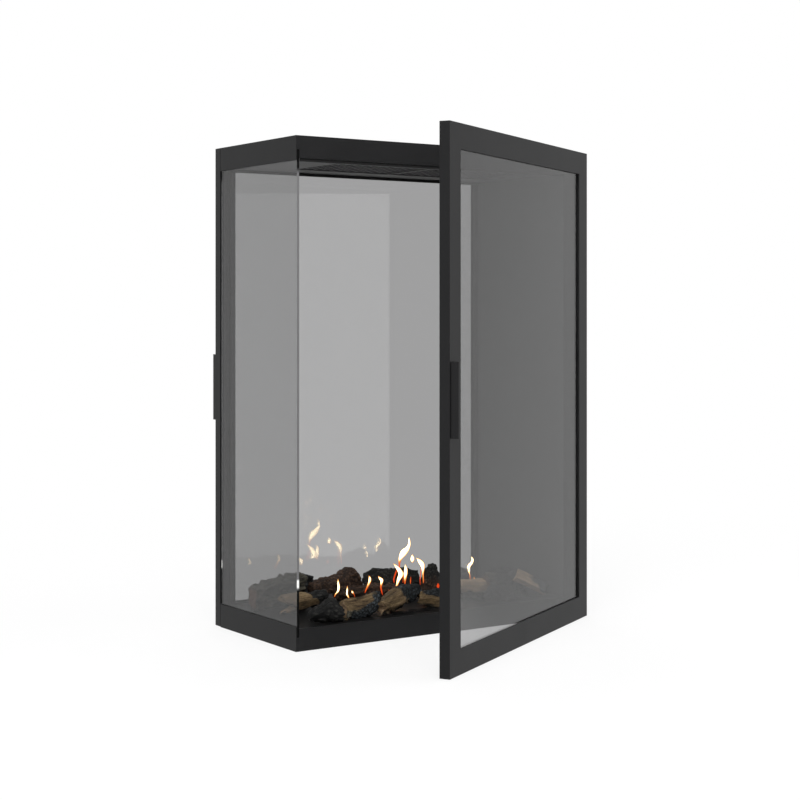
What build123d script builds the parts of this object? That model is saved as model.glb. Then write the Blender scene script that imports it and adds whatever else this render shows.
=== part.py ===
from build123d import *
import math
import os

os.makedirs("parts", exist_ok=True)

# Millimetres. The origin is the centre of the base on the floor line, +X to the closed
# hinge end, +Y to the rear, +Z up. The front door stands open, the rear door is closed.

# Overall sizes of the box, without its doors
width = 707.0
depth = 311.0
height = 1000.0
rim_height = 44.0          # front and rear rims, top and bottom
band_height = 48.0         # cover strips at the glazed end

# Sheet and glass thicknesses
sheet = 2.5                # folded casing sheet
strip_sheet = 2.0          # cover strips
panel_sheet = 2.0          # floor plate, ceiling panel and liner
glass_thickness = 5.0
grille_sheet = 1.5

# Clearances
fit_gap = 0.3              # pieces that are laid or slid in
glass_gap = 0.3            # glass to the strip outside it
notch_gap = 0.4            # corner notch round a hinge knuckle

# Small screws and their holes are drawn with few sides
screw_sides = 8
hex_sides = 6

# Glazed left end
glass_end = 27.0           # glass stops this far from top and bottom
gasket_sheet = 1.5
pad_sheet = 1.0
glass_bevel = 0.6

# Right end column
column_width = 41.5
lip_width = 18.0
board_thickness = 30.0
board_margin = 6.0
return_width = 14.0        # ledge folded inwards in both trays

# Fixing holes in the base
base_hole_radius = 4.5
base_hole_x = 580.0
base_hole_y = 220.0

# Ceiling grilles
grille_front = 71.0        # from the front face to the opening
grille_depth = 162.0
grille_left_start = 135.0  # from the left face
grille_left_width = 227.0
grille_divider = 8.0
grille_right_width = 220.0
grille_overlap = 3.7
grille_pitch = 20.0
grille_hole = 14.0

# Seals under the ceiling panel, along both doors
seal_strip_height = 6.0
seal_strip_thickness = 3.0

# Vent slots in the top
vent_count = 9
vent_length = 42.0
vent_width = 7.0
vent_pitch = 52.0
vent_row_gap = 26.0
vent_rows = 4

# Doors
door_gap = 1.5             # box face to door back
door_depth = 20.5
door_foot = 1.0            # door bottom above the floor line
door_lip = 47.0            # width of the face all round the glass
door_face = 3.0            # thickness of that face
door_edge = 2.5            # folded outer edge
door_back_flange = 18.0
door_back_sheet = 2.0
front_open_angle = 29.5    # as photographed
rear_open_angle = 0.0
door_gasket = 1.2
door_glass_cover = 10.0    # glass hidden behind the lip
gasket_setback = 1.0
retainer_sheet = 2.5
retainer_gap = 0.5
retainer_cover = 3.0       # flange stops this far short of the lip edge
seal_inset = 2.5
seal_width = 9.0
seal_thickness = 1.2
magnet_length = 30.0
magnet_width = 10.0
magnet_thickness = 3.0
magnet_from_edge = 30.0
magnet_inset = 5.0

# Handle, an angle profile near the free edge
handle_length = 137.5
handle_reach = 16.0
handle_sheet = 3.5
handle_foot = 20.0
handle_inset = 3.0
handle_screw_spacing = 100.0
handle_screw_radius = 2.0
handle_screw_head = 3.8
handle_screw_head_height = 2.0
handle_screw_grip = 3.0    # depth of the thread in the handle's foot

# Hinges
hinge_height = 60.0
hinge_low = 150.0          # foot of the lower hinge
hinge_high = 790.0         # foot of the upper hinge
knuckle_radius = 5.0
knuckle_gap = 0.3
pin_radius = 2.5
pin_seat_clearance = 0.02
pin_running_clearance = 0.05
pin_short = 3.0
leaf_sheet = 2.5
box_leaf_reach = 26.0
door_leaf_reach = 20.0
hinge_screw_radius = 2.0
hinge_screw_head = 3.6
hinge_screw_head_height = 1.6
hinge_screw_spacing = 16.0
hinge_screw_length = 8.0
hinge_screw_place = 0.62   # share of the leaf's reach
hinge_screw_clearance = 0.2

# Column bolts
bolt_radius = 3.0
bolt_clearance = 0.3
bolt_head = 5.5
bolt_head_height = 4.0
bolt_spacing = 200.0
bolt_inset = 14.0          # from the liner face

# Burner
burner_start = 165.0       # slot, from the left face
burner_length = 400.0
burner_width = 50.0
burner_front = 150.0       # slot, from the front face
tank_sheet = 1.5
tank_margin = 20.0
tank_height = 28.5
tank_corner = 8.0
burner_corner = 6.0
wool_drop = 3.0
burner_sheet = 2.0
damper_sheet = 2.0
damper_overlap = 7.0
damper_clearance = 0.3
damper_hole_radius = 3.0
damper_tab = 14.0
damper_tab_width = 14.0
rail_sheet = 2.0
rail_lip = 6.0

# Hearth slots beside the burner
hearth_slot_length = 46.0
hearth_slot_width = 5.0
hearth_slot_pitch = 58.0
hearth_slot_row_gap = 12.0
hearth_slot_rows = 3
hearth_slot_count = 3
hearth_slot_start = 205.0  # first slot, from the left face
hearth_slot_spread = 290.0 # from the left group of slots to the right one
hearth_slot_front = 26.0   # first row, from the front face

# Ceramic logs
log_clearance = 0.3
bark_swell = 0.09          # ridges of the bark, as a share of the radius
split_swell = 0.07         # roughness of a split face
log_stations = (           # share of the length, share of the radius, sideways bow
    (0.0, 0.84, 0.0),
    (0.3, 1.0, 0.06),
    (0.68, 0.97, -0.03),
    (1.0, 0.80, 0.0),
)

# Derived places
left = -width / 2
right = width / 2
front = -depth / 2
rear = depth / 2
strip_face = left + strip_sheet
glass_out = strip_face + glass_gap
glass_in = glass_out + glass_thickness
tray_left = glass_in + gasket_sheet
tray_inside_left = tray_left + sheet
inside_right = right - sheet
inside_y = rear - sheet
floor_top = rim_height
ceiling = height - rim_height
liner_face = right - column_width
hinge_y = rear + door_gap / 2


def span(x0, x1, y0, y1):
    """Centre, width and depth of a plan rectangle given by its edges."""
    return (x0 + x1) / 2, (y0 + y1) / 2, x1 - x0, y1 - y0


def plate(plane, x0, x1, y0, y1, thickness):
    """A flat rectangular plate on a plane, as a part of its own."""
    cx, cy, w, d = span(x0, x1, y0, y1)
    with BuildPart() as flat:
        with BuildSketch(plane):
            with Locations((cx, cy)):
                Rectangle(w, d)
        extrude(amount=thickness)
    return flat.part


def screw_round(radius, mode=Mode.ADD):
    """The outline of a small screw's shank, or of the hole that it passes."""
    return RegularPolygon(radius, screw_sides, mode=mode)


def save(piece, label):
    """Label a finished piece and write it as one file."""
    piece.label = label
    export_step(piece, f"parts/{label}.step")


# Folded trays: the base tray stands up from the floor line, the top tray hangs down from
# its vented cover.


def rim(outer, up):
    """The four walls of a tray and the ledge that they fold into, without its outer sheet."""
    x0, x1 = strip_face, right
    cx, cy, w, d = span(x0, x1, front, rear)
    ix, iy, inner_w, inner_d = span(tray_inside_left, inside_right, -inside_y, inside_y)
    with BuildPart() as folded:
        with BuildSketch(Plane.XY.offset(outer + up * sheet)):
            with Locations((cx, cy)):
                Rectangle(w, d)
            with Locations((ix, iy)):
                Rectangle(inner_w, inner_d, mode=Mode.SUBTRACT)
        extrude(amount=up * (rim_height - sheet))
        # The channel in which the end glass and its ledge stand
        sx, sy, sw, sd = span(x0, tray_left, -inside_y, inside_y)
        with BuildSketch(Plane.XY.offset(outer + up * sheet)):
            with Locations((sx, sy)):
                Rectangle(sw, sd)
        extrude(amount=up * height / 2, mode=Mode.SUBTRACT)
        gx, gy, gw, gd = span(x0, glass_in + fit_gap, front, rear)
        with BuildSketch(Plane.XY.offset(outer + up * (glass_end - fit_gap))):
            with Locations((gx, gy)):
                Rectangle(gw, gd)
        extrude(amount=up * height / 2, mode=Mode.SUBTRACT)
        with BuildSketch(Plane.XY.offset(outer + up * (rim_height - panel_sheet - sheet))):
            with Locations((ix, iy)):
                Rectangle(inner_w, inner_d)
                Rectangle(inner_w - 2 * return_width, inner_d - 2 * return_width,
                          mode=Mode.SUBTRACT)
        extrude(amount=up * sheet)
    return folded.part


with BuildPart() as base_tray:
    add(rim(0, 1))
    add(plate(Plane.XY, strip_face, right, front, rear, sheet))
    with BuildSketch(Plane.XY):
        with GridLocations(base_hole_x, base_hole_y, 2, 2):
            Circle(base_hole_radius)
    extrude(amount=sheet, mode=Mode.SUBTRACT)
save(base_tray.part, "base_tray")

grille_mid_x = left + grille_left_start + grille_left_width + grille_divider / 2
grille_mid_y = front + grille_front + grille_depth / 2

with BuildPart() as top_tray:
    add(rim(height, -1))
save(top_tray.part, "top_tray")

with BuildPart() as top_cover:
    add(plate(Plane.XY.offset(height - sheet), strip_face, right, front, rear, sheet))
    with BuildSketch(Plane.XY.offset(height)):
        with Locations((grille_mid_x, grille_mid_y)):
            with GridLocations(vent_pitch, vent_row_gap, vent_count, vent_rows):
                Rectangle(vent_length, vent_width)
    extrude(amount=-sheet, mode=Mode.SUBTRACT)
save(top_cover.part, "top_cover")

# Floor plate and ceiling panel, both laid against the ledges

floor_x0 = tray_inside_left + fit_gap
floor_x1 = inside_right - fit_gap
floor_y1 = inside_y - fit_gap
burner_x0 = left + burner_start
burner_x1 = burner_x0 + burner_length
burner_y0 = front + burner_front
burner_y1 = burner_y0 + burner_width
bolt_x = liner_face + bolt_inset

with BuildPart() as floor_plate:
    add(plate(Plane.XY.offset(floor_top - panel_sheet), floor_x0, floor_x1, -floor_y1, floor_y1,
              panel_sheet))
    bx, by, bw, bd = span(burner_x0, burner_x1, burner_y0, burner_y1)
    slot_x = left + hearth_slot_start + (hearth_slot_count - 1) * hearth_slot_pitch / 2
    slot_y = front + hearth_slot_front + (hearth_slot_rows - 1) * hearth_slot_row_gap / 2
    with BuildSketch(Plane.XY.offset(floor_top)):
        with Locations((bx, by)):
            Rectangle(bw, bd)
        with Locations((slot_x, slot_y), (slot_x + hearth_slot_spread, slot_y)):
            with GridLocations(hearth_slot_pitch, hearth_slot_row_gap, hearth_slot_count,
                               hearth_slot_rows):
                Rectangle(hearth_slot_length, hearth_slot_width)
        with Locations((bolt_x, -bolt_spacing / 2), (bolt_x, bolt_spacing / 2)):
            screw_round(bolt_radius + bolt_clearance)
    extrude(amount=-panel_sheet, mode=Mode.SUBTRACT)
save(floor_plate.part, "floor_plate")

left_grille = (left + grille_left_start, left + grille_left_start + grille_left_width)
right_grille = (left_grille[1] + grille_divider, left_grille[1] + grille_divider + grille_right_width)
grille_y = (front + grille_front, front + grille_front + grille_depth)

with BuildPart() as ceiling_panel:
    add(plate(Plane.XY.offset(ceiling), floor_x0, floor_x1, -floor_y1, floor_y1, panel_sheet))
    with BuildSketch(Plane.XY.offset(ceiling)):
        for x0, x1 in (left_grille, right_grille):
            gx, gy, gw, gd = span(x0, x1, *grille_y)
            with Locations((gx, gy)):
                Rectangle(gw, gd)
        with Locations((bolt_x, -bolt_spacing / 2), (bolt_x, bolt_spacing / 2)):
            screw_round(bolt_radius + bolt_clearance)
    extrude(amount=panel_sheet, mode=Mode.SUBTRACT)
save(ceiling_panel.part, "ceiling_panel")


with BuildPart() as ceiling_seals:
    with BuildSketch(Plane.XY.offset(ceiling)):
        for side in (-1, 1):
            cx, cy, w, d = span(tray_inside_left, liner_face - fit_gap,
                                floor_y1 - seal_strip_thickness, floor_y1)
            with Locations((cx, side * cy)):
                Rectangle(w, d)
    extrude(amount=-seal_strip_height)
save(ceiling_seals.part, "ceiling_seals")


def grille(x0, x1):
    """A perforated plate that lies on the ceiling panel over its opening."""
    cx, cy, w, d = span(x0, x1, *grille_y)
    columns = int((w - grille_hole) // grille_pitch) + 1
    rows = int((d - grille_hole) // grille_pitch) + 1
    with BuildPart() as mesh:
        with BuildSketch(Plane.XY.offset(ceiling + panel_sheet)):
            with Locations((cx, cy)):
                Rectangle(w + 2 * grille_overlap, d + 2 * grille_overlap)
                with GridLocations(grille_pitch, grille_pitch, columns, rows):
                    Rectangle(grille_hole, grille_hole, mode=Mode.SUBTRACT)
        extrude(amount=grille_sheet)
    return mesh.part


save(grille(*left_grille), "grille_left")
save(grille(*right_grille), "grille_right")

# Glazed left end


def end_strip(outer, up):
    """Cover strip with the ledge that carries the end glass, at the foot or the head."""
    with BuildPart() as strip:
        with BuildSketch(Plane.XY.offset(outer)):
            cx, cy, w, d = span(left, strip_face, front, rear)
            with Locations((cx, cy)):
                Rectangle(w, d)
        extrude(amount=up * band_height)
        with BuildSketch(Plane.XY.offset(outer + up * sheet)):
            cx, cy, w, d = span(strip_face, tray_left, -inside_y + fit_gap, inside_y - fit_gap)
            with Locations((cx, cy)):
                Rectangle(w, d)
        extrude(amount=up * (glass_end - pad_sheet - sheet))
    return strip.part


save(end_strip(0, 1), "side_sill")
save(end_strip(height, -1), "side_header")

with BuildPart() as side_glass:
    with BuildSketch(Plane.YZ.offset(glass_out)):
        with Locations((0, height / 2)):
            Rectangle(depth, height - 2 * glass_end)
    extrude(amount=glass_thickness)
    chamfer(side_glass.edges().filter_by(Axis.Z), glass_bevel)
save(side_glass.part, "side_glass")

with BuildPart() as side_glass_gaskets:
    for outer, up in ((0, 1), (height, -1)):
        seat = outer + up * (glass_end - pad_sheet)
        with BuildSketch(Plane.XZ.offset(-inside_y + fit_gap)):
            with BuildLine():
                Polyline(
                    (glass_out, seat), (tray_left, seat),
                    (tray_left, outer + up * rim_height), (glass_in, outer + up * rim_height),
                    (glass_in, outer + up * glass_end), (glass_out, outer + up * glass_end),
                    close=True,
                )
            make_face()
        extrude(amount=2 * (inside_y - fit_gap))
save(side_glass_gaskets.part, "side_glass_gaskets")

# Closed right end: folded column, inner liner and insulation

hinge_feet = (hinge_low, hinge_high)
half_hinge = (hinge_height - knuckle_gap) / 2
leaf_screw_heights = (-hinge_screw_spacing / 2, hinge_screw_spacing / 2)
box_screw_y = hinge_y - box_leaf_reach * hinge_screw_place
lip_x = liner_face + panel_sheet

with BuildPart() as right_casing:
    with BuildSketch(Plane.XY.offset(floor_top)):
        cx, cy, w, d = span(liner_face, right, front, rear)
        with Locations((cx, cy)):
            Rectangle(w, d)
        cx, cy, w, d = span(liner_face, lip_x, -inside_y, inside_y)
        with Locations((cx, cy)):
            Rectangle(w, d, mode=Mode.SUBTRACT)
        cx, cy, w, d = span(lip_x + sheet, inside_right, -inside_y, inside_y)
        with Locations((cx, cy)):
            Rectangle(w, d, mode=Mode.SUBTRACT)
        cx, cy, w, d = span(lip_x, lip_x + sheet, -inside_y + lip_width, inside_y - lip_width)
        with Locations((cx, cy)):
            Rectangle(w, d, mode=Mode.SUBTRACT)
    extrude(amount=ceiling - floor_top)
    # End plates that bolt through the floor plate and the ceiling panel
    for start in (floor_top, ceiling - sheet):
        with BuildSketch(Plane.XY.offset(start)):
            cx, cy, w, d = span(lip_x, inside_right, -inside_y, inside_y)
            with Locations((cx, cy)):
                Rectangle(w, d)
            with Locations((bolt_x, -bolt_spacing / 2), (bolt_x, bolt_spacing / 2)):
                screw_round(bolt_radius + bolt_clearance, Mode.SUBTRACT)
        extrude(amount=sheet)
    # Corner notches that clear the hinge knuckles
    for foot in hinge_feet:
        with BuildSketch(Plane.XY.offset(foot - notch_gap)):
            with Locations((right, -hinge_y), (right, hinge_y)):
                Circle(knuckle_radius + notch_gap)
        extrude(amount=hinge_height + 2 * notch_gap, mode=Mode.SUBTRACT)
    # Threaded holes for the hinge leaves
    for foot in hinge_feet:
        with BuildSketch(Plane.YZ.offset(right)):
            for side in (-1, 1):
                for lift in leaf_screw_heights:
                    with Locations((side * box_screw_y, foot + half_hinge / 2 + lift)):
                        screw_round(hinge_screw_radius + hinge_screw_clearance)
        extrude(amount=-sheet, mode=Mode.SUBTRACT)
save(right_casing.part, "right_casing")

with BuildPart() as right_liner:
    with BuildSketch(Plane.YZ.offset(liner_face)):
        with Locations((0, height / 2)):
            Rectangle(2 * (inside_y - fit_gap), ceiling - floor_top - 2 * fit_gap)
    extrude(amount=panel_sheet)
save(right_liner.part, "right_liner")

with BuildPart() as insulation_board:
    with BuildSketch(Plane.YZ.offset(lip_x + sheet + fit_gap)):
        with Locations((0, height / 2)):
            Rectangle(2 * (inside_y - fit_gap), ceiling - floor_top - 2 * sheet - 2 * board_margin)
    extrude(amount=board_thickness)
save(insulation_board.part, "insulation_board")

# Hinges: the lower knuckle and its pin belong to the box, the upper knuckle to the door.

hinge_lines = [(side, foot) for side in (-1, 1) for foot in hinge_feet]
door_screw_reach = door_leaf_reach * hinge_screw_place

with BuildPart() as hinge_leaves:
    for side, foot in hinge_lines:
        with BuildSketch(Plane.XY.offset(foot)):
            with Locations((right, side * hinge_y)):
                Circle(knuckle_radius)
            cx, cy, w, d = span(right, right + leaf_sheet, hinge_y - box_leaf_reach, hinge_y)
            with Locations((cx, side * cy)):
                Rectangle(w, d)
            with Locations((right, side * hinge_y)):
                Circle(pin_radius + pin_seat_clearance, mode=Mode.SUBTRACT)
        extrude(amount=half_hinge)
    with BuildSketch(Plane.YZ.offset(right)):
        for side, foot in hinge_lines:
            for lift in leaf_screw_heights:
                with Locations((side * box_screw_y, foot + half_hinge / 2 + lift)):
                    screw_round(hinge_screw_radius + hinge_screw_clearance)
    extrude(amount=leaf_sheet, mode=Mode.SUBTRACT)
save(hinge_leaves.part, "hinge_leaves")

with BuildPart() as hinge_pins:
    for side, foot in hinge_lines:
        with BuildSketch(Plane.XY.offset(foot)):
            with Locations((right, side * hinge_y)):
                Circle(pin_radius)
        extrude(amount=hinge_height - pin_short)
save(hinge_pins.part, "hinge_pins")

with BuildPart() as hinge_screws:
    for start, radius, sides, length in (
        (right + leaf_sheet, hinge_screw_head, hex_sides, hinge_screw_head_height),
        (right + leaf_sheet, hinge_screw_radius, screw_sides, -hinge_screw_length),
    ):
        with BuildSketch(Plane.YZ.offset(start)):
            for side, foot in hinge_lines:
                for lift in leaf_screw_heights:
                    with Locations((side * box_screw_y, foot + half_hinge / 2 + lift)):
                        RegularPolygon(radius, sides)
        extrude(amount=length)
save(hinge_screws.part, "hinge_screws")

with BuildPart() as column_bolts:
    for seat, up in ((floor_top, 1), (ceiling, -1)):
        for y in (-bolt_spacing / 2, bolt_spacing / 2):
            with BuildSketch(Plane.XY.offset(seat + up * sheet)):
                with Locations((bolt_x, y)):
                    RegularPolygon(bolt_head, hex_sides)
            extrude(amount=up * bolt_head_height)
            with BuildSketch(Plane.XY.offset(seat + up * sheet)):
                with Locations((bolt_x, y)):
                    screw_round(bolt_radius)
            extrude(amount=-up * (sheet + panel_sheet + bolt_head_height))
            with BuildSketch(Plane.XY.offset(seat - up * panel_sheet)):
                with Locations((bolt_x, y)):
                    RegularPolygon(bolt_head, hex_sides)
            extrude(amount=-up * bolt_head_height)
save(column_bolts.part, "column_bolts")

# Doors. Each is drawn on the plane of its own hinge line: X runs to the free edge, Y up.

door_front = door_gap / 2 + door_depth
glass_outer = door_front - door_face - door_gasket
glass_inner = glass_outer - glass_thickness
glass_inset = door_lip - door_glass_cover


def door(name, side, swing):
    """Every piece of one door, side -1 at the front and 1 at the rear, opened by swing."""
    foot = (right, side * hinge_y, 0)
    cosine = math.cos(math.radians(swing))
    sine = math.sin(math.radians(swing))
    reach = (-cosine, side * sine, 0)
    outward = (side * sine, cosine, 0)

    def face(distance):
        return Plane(origin=foot, x_dir=reach, z_dir=outward).offset(side * distance)

    def plan(level):
        return Plane(origin=foot, x_dir=reach, z_dir=(0, 0, 1)).offset(level)

    def ring(inset, inner):
        with Locations((width / 2, (height + door_foot) / 2)):
            Rectangle(width - 2 * inset, height - door_foot - 2 * inset)
            Rectangle(width - 2 * inner, height - door_foot - 2 * inner, mode=Mode.SUBTRACT)

    handle_x = width - handle_inset - (handle_foot + handle_sheet) / 2
    handle_screws_at = [(handle_x, height / 2 + lift) for lift in
                        (-handle_screw_spacing / 2, handle_screw_spacing / 2)]

    with BuildPart() as frame:
        with BuildSketch(face(door_front)):
            ring(0, door_lip)
        extrude(amount=-side * door_face)
        with BuildSketch(face(door_gap / 2)):
            ring(0, door_edge)
        extrude(amount=side * door_depth)
        with BuildSketch(face(door_gap / 2)):
            ring(0, door_back_flange)
        extrude(amount=side * door_back_sheet)
        for hinge_foot in hinge_feet:
            with BuildSketch(plan(hinge_foot - notch_gap)):
                Circle(knuckle_radius + notch_gap)
            extrude(amount=hinge_height + 2 * notch_gap, mode=Mode.SUBTRACT)
        with BuildSketch(face(door_front)):
            with Locations(*handle_screws_at):
                screw_round(handle_screw_radius + hinge_screw_clearance)
        extrude(amount=-side * door_face, mode=Mode.SUBTRACT)
        with BuildSketch(Plane(origin=foot, x_dir=(0, 0, 1), z_dir=reach)):
            for hinge_foot in hinge_feet:
                for lift in leaf_screw_heights:
                    height_here = hinge_foot + hinge_height - half_hinge / 2 + lift
                    with Locations((height_here, side * door_screw_reach)):
                        screw_round(hinge_screw_radius + hinge_screw_clearance)
        extrude(amount=door_edge, mode=Mode.SUBTRACT)
    save(frame.part, f"{name}_door_frame")

    with BuildPart() as gasket:
        with BuildSketch(face(door_front - door_face)):
            ring(glass_inset, door_lip - gasket_setback)
        extrude(amount=-side * door_gasket)
    save(gasket.part, f"{name}_door_gasket")

    with BuildPart() as glass:
        with BuildSketch(face(glass_outer)):
            with Locations((width / 2, (height + door_foot) / 2)):
                Rectangle(width - 2 * glass_inset, height - door_foot - 2 * glass_inset)
        extrude(amount=-side * glass_thickness)
    save(glass.part, f"{name}_door_glass")

    retainer_edge = glass_inset - retainer_gap
    with BuildPart() as retainer:
        with BuildSketch(face(door_front - door_face)):
            ring(retainer_edge - retainer_sheet, retainer_edge)
        extrude(amount=-side * (door_front - door_face - glass_inner + fit_gap + retainer_sheet))
        with BuildSketch(face(glass_inner - fit_gap)):
            ring(retainer_edge - retainer_sheet, door_lip - retainer_cover)
        extrude(amount=-side * retainer_sheet)
    save(retainer.part, f"{name}_glass_retainer")

    with BuildPart() as seal:
        with BuildSketch(face(door_gap / 2)):
            ring(seal_inset, seal_inset + seal_width)
        extrude(amount=-side * seal_thickness)
        for hinge_foot in hinge_feet:
            with BuildSketch(plan(hinge_foot - notch_gap)):
                Circle(knuckle_radius + notch_gap)
            extrude(amount=hinge_height + 2 * notch_gap, mode=Mode.SUBTRACT)
    save(seal.part, f"{name}_door_seal")

    magnet_x = width - magnet_from_edge - magnet_length / 2
    magnet_edge = magnet_inset + magnet_width / 2
    with BuildPart() as magnets:
        with BuildSketch(face(door_gap / 2 + door_back_sheet)):
            with Locations((magnet_x, door_foot + magnet_edge), (magnet_x, height - magnet_edge)):
                Rectangle(magnet_length, magnet_width)
        extrude(amount=side * magnet_thickness)
    save(magnets.part, f"{name}_door_magnets")

    fin_x = width - handle_inset
    with BuildPart() as handle:
        with BuildSketch(plan((height - handle_length) / 2)):
            with BuildLine():
                Polyline(
                    (fin_x, -side * door_front),
                    (fin_x, -side * (door_front + handle_reach)),
                    (fin_x - handle_sheet, -side * (door_front + handle_reach)),
                    (fin_x - handle_sheet, -side * (door_front + handle_sheet)),
                    (fin_x - handle_sheet - handle_foot, -side * (door_front + handle_sheet)),
                    (fin_x - handle_sheet - handle_foot, -side * door_front),
                    close=True,
                )
            make_face()
        extrude(amount=handle_length)
        with BuildSketch(face(door_front)):
            with Locations(*handle_screws_at):
                screw_round(handle_screw_radius + hinge_screw_clearance)
        extrude(amount=side * handle_screw_grip, mode=Mode.SUBTRACT)
    save(handle.part, f"{name}_handle")

    with BuildPart() as screws:
        with BuildSketch(face(door_front - door_face)):
            with Locations(*handle_screws_at):
                RegularPolygon(handle_screw_head, hex_sides)
        extrude(amount=-side * handle_screw_head_height)
        with BuildSketch(face(door_front - door_face)):
            with Locations(*handle_screws_at):
                screw_round(handle_screw_radius)
        extrude(amount=side * (door_face + handle_screw_grip - fit_gap))
    save(screws.part, f"{name}_handle_screws")

    with BuildPart() as leaves:
        for hinge_foot in hinge_feet:
            with BuildSketch(plan(hinge_foot + hinge_height - half_hinge)):
                Circle(knuckle_radius)
                with Locations((-leaf_sheet / 2, -side * door_leaf_reach / 2)):
                    Rectangle(leaf_sheet, door_leaf_reach)
                Circle(pin_radius + pin_running_clearance, mode=Mode.SUBTRACT)
            extrude(amount=half_hinge)
        with BuildSketch(Plane(origin=foot, x_dir=(0, 0, 1), z_dir=reach)):
            for hinge_foot in hinge_feet:
                for lift in leaf_screw_heights:
                    height_here = hinge_foot + hinge_height - half_hinge / 2 + lift
                    with Locations((height_here, side * door_screw_reach)):
                        screw_round(hinge_screw_radius + hinge_screw_clearance)
        extrude(amount=-leaf_sheet, mode=Mode.SUBTRACT)
    save(leaves.part, f"{name}_hinge_leaves")

    with BuildPart() as leaf_screws:
        for start, radius, sides, length in (
            (-leaf_sheet, hinge_screw_head, hex_sides, -hinge_screw_head_height),
            (-leaf_sheet, hinge_screw_radius, screw_sides, hinge_screw_length),
        ):
            with BuildSketch(Plane(origin=foot, x_dir=(0, 0, 1), z_dir=reach).offset(start)):
                for hinge_foot in hinge_feet:
                    for lift in leaf_screw_heights:
                        height_here = hinge_foot + hinge_height - half_hinge / 2 + lift
                        with Locations((height_here, side * door_screw_reach)):
                            RegularPolygon(radius, sides)
            extrude(amount=length)
    save(leaf_screws.part, f"{name}_hinge_screws")


door("front", -1, front_open_angle)
door("rear", 1, rear_open_angle)

# Burner under the floor plate, with a damper that slides forward over its slot

tank_x0 = burner_x0 - tank_margin
tank_x1 = burner_x1 + tank_margin
tank_y0 = burner_y0 - tank_margin
tank_y1 = burner_y1 + tank_margin
tank_top = sheet + tank_height

with BuildPart() as burner_tank:
    cx, cy, w, d = span(tank_x0, tank_x1, tank_y0, tank_y1)
    with BuildSketch(Plane.XY.offset(sheet)):
        with Locations((cx, cy)):
            RectangleRounded(w, d, tank_corner)
    extrude(amount=tank_height)
    with BuildSketch(Plane.XY.offset(sheet + tank_sheet)):
        with Locations((cx, cy)):
            RectangleRounded(w - 2 * tank_sheet, d - 2 * tank_sheet, tank_corner - tank_sheet)
    extrude(amount=tank_height, mode=Mode.SUBTRACT)
save(burner_tank.part, "burner_tank")

with BuildPart() as ceramic_wool:
    with BuildSketch(Plane.XY.offset(sheet + tank_sheet)):
        with Locations((cx, cy)):
            RectangleRounded(w - 2 * tank_sheet - 2 * fit_gap, d - 2 * tank_sheet - 2 * fit_gap,
                             tank_corner - tank_sheet)
    extrude(amount=tank_height - tank_sheet - wool_drop)
save(ceramic_wool.part, "ceramic_wool")

damper_length = burner_length + 2 * damper_overlap
damper_depth = burner_width + 2 * damper_overlap
damper_x0 = burner_x0 - damper_overlap
damper_travel = damper_depth
damper_y0 = burner_y0 - damper_overlap + damper_travel
damper_level = tank_top + burner_sheet + damper_clearance
rail_outer = damper_clearance + rail_sheet

with BuildPart() as burner_top:
    x0, x1 = damper_x0 - rail_outer, damper_x0 + damper_length + rail_outer
    y0, y1 = tank_y0, damper_y0 + damper_depth
    with BuildSketch(Plane.XY.offset(tank_top)):
        sx, sy, sw, sd = span(min(x0, tank_x0), max(x1, tank_x1), y0, y1)
        with Locations((sx, sy)):
            Rectangle(sw, sd)
        bx, by, bw, bd = span(burner_x0, burner_x1, burner_y0, burner_y1)
        with Locations((bx, by)):
            RectangleRounded(bw, bd, burner_corner, mode=Mode.SUBTRACT)
    extrude(amount=burner_sheet)
save(burner_top.part, "burner_top")

with BuildPart() as damper_rails:
    for end, hand in ((damper_x0, 1), (damper_x0 + damper_length, -1)):
        base = tank_top + burner_sheet
        roof = damper_level + damper_sheet + damper_clearance
        outer_x = end - hand * rail_outer
        wall_x = end - hand * damper_clearance
        lip_end = wall_x + hand * rail_lip
        with BuildSketch(Plane.XZ.offset(-tank_y0)):
            with BuildLine():
                Polyline(
                    (outer_x, base), (wall_x, base), (wall_x, roof), (lip_end, roof),
                    (lip_end, roof + rail_sheet), (outer_x, roof + rail_sheet),
                    close=True,
                )
            make_face()
        extrude(amount=-(damper_y0 + damper_depth - tank_y0))
save(damper_rails.part, "damper_rails")

with BuildPart() as burner_damper:
    cx, cy, w, d = span(damper_x0, damper_x0 + damper_length, damper_y0, damper_y0 + damper_depth)
    with BuildSketch(Plane.XY.offset(damper_level)):
        with Locations((cx, cy)):
            Rectangle(w, d)
        with Locations((cx, damper_y0)):
            SlotOverall(damper_tab * 2, damper_tab_width, rotation=90)
        with Locations((cx, damper_y0 - damper_tab + damper_tab_width / 2)):
            Circle(damper_hole_radius, mode=Mode.SUBTRACT)
    extrude(amount=damper_sheet)
save(burner_damper.part, "burner_damper")

# Ceramic logs. Each runs through cut outlines along its own axis, is laid on the floor
# plate or on the logs before it, and is cut back to a moulded seat where it lies on them.


def log_outline(radius, shape, roll):
    """Corner points of a cut through a log: round with bark, split in half, or a wedge."""
    if shape == "round":
        spread = [(a, 1 + bark_swell * math.sin(math.radians(3 * a + 40)))
                  for a in range(0, 360, 40)]
    elif shape == "half":
        spread = [(a, 1 + split_swell * math.sin(math.radians(4 * a)))
                  for a in range(-10, 191, 33)]
        spread.append((270, 0.42))
    else:
        spread = [(a, 1.05 + split_swell * math.sin(math.radians(5 * a)))
                  for a in range(35, 146, 36)]
        spread += [(205, 0.72), (300, 0.82)]
    return [(radius * r * math.cos(math.radians(a + roll)),
             radius * r * math.sin(math.radians(a + roll))) for a, r in spread]


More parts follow.
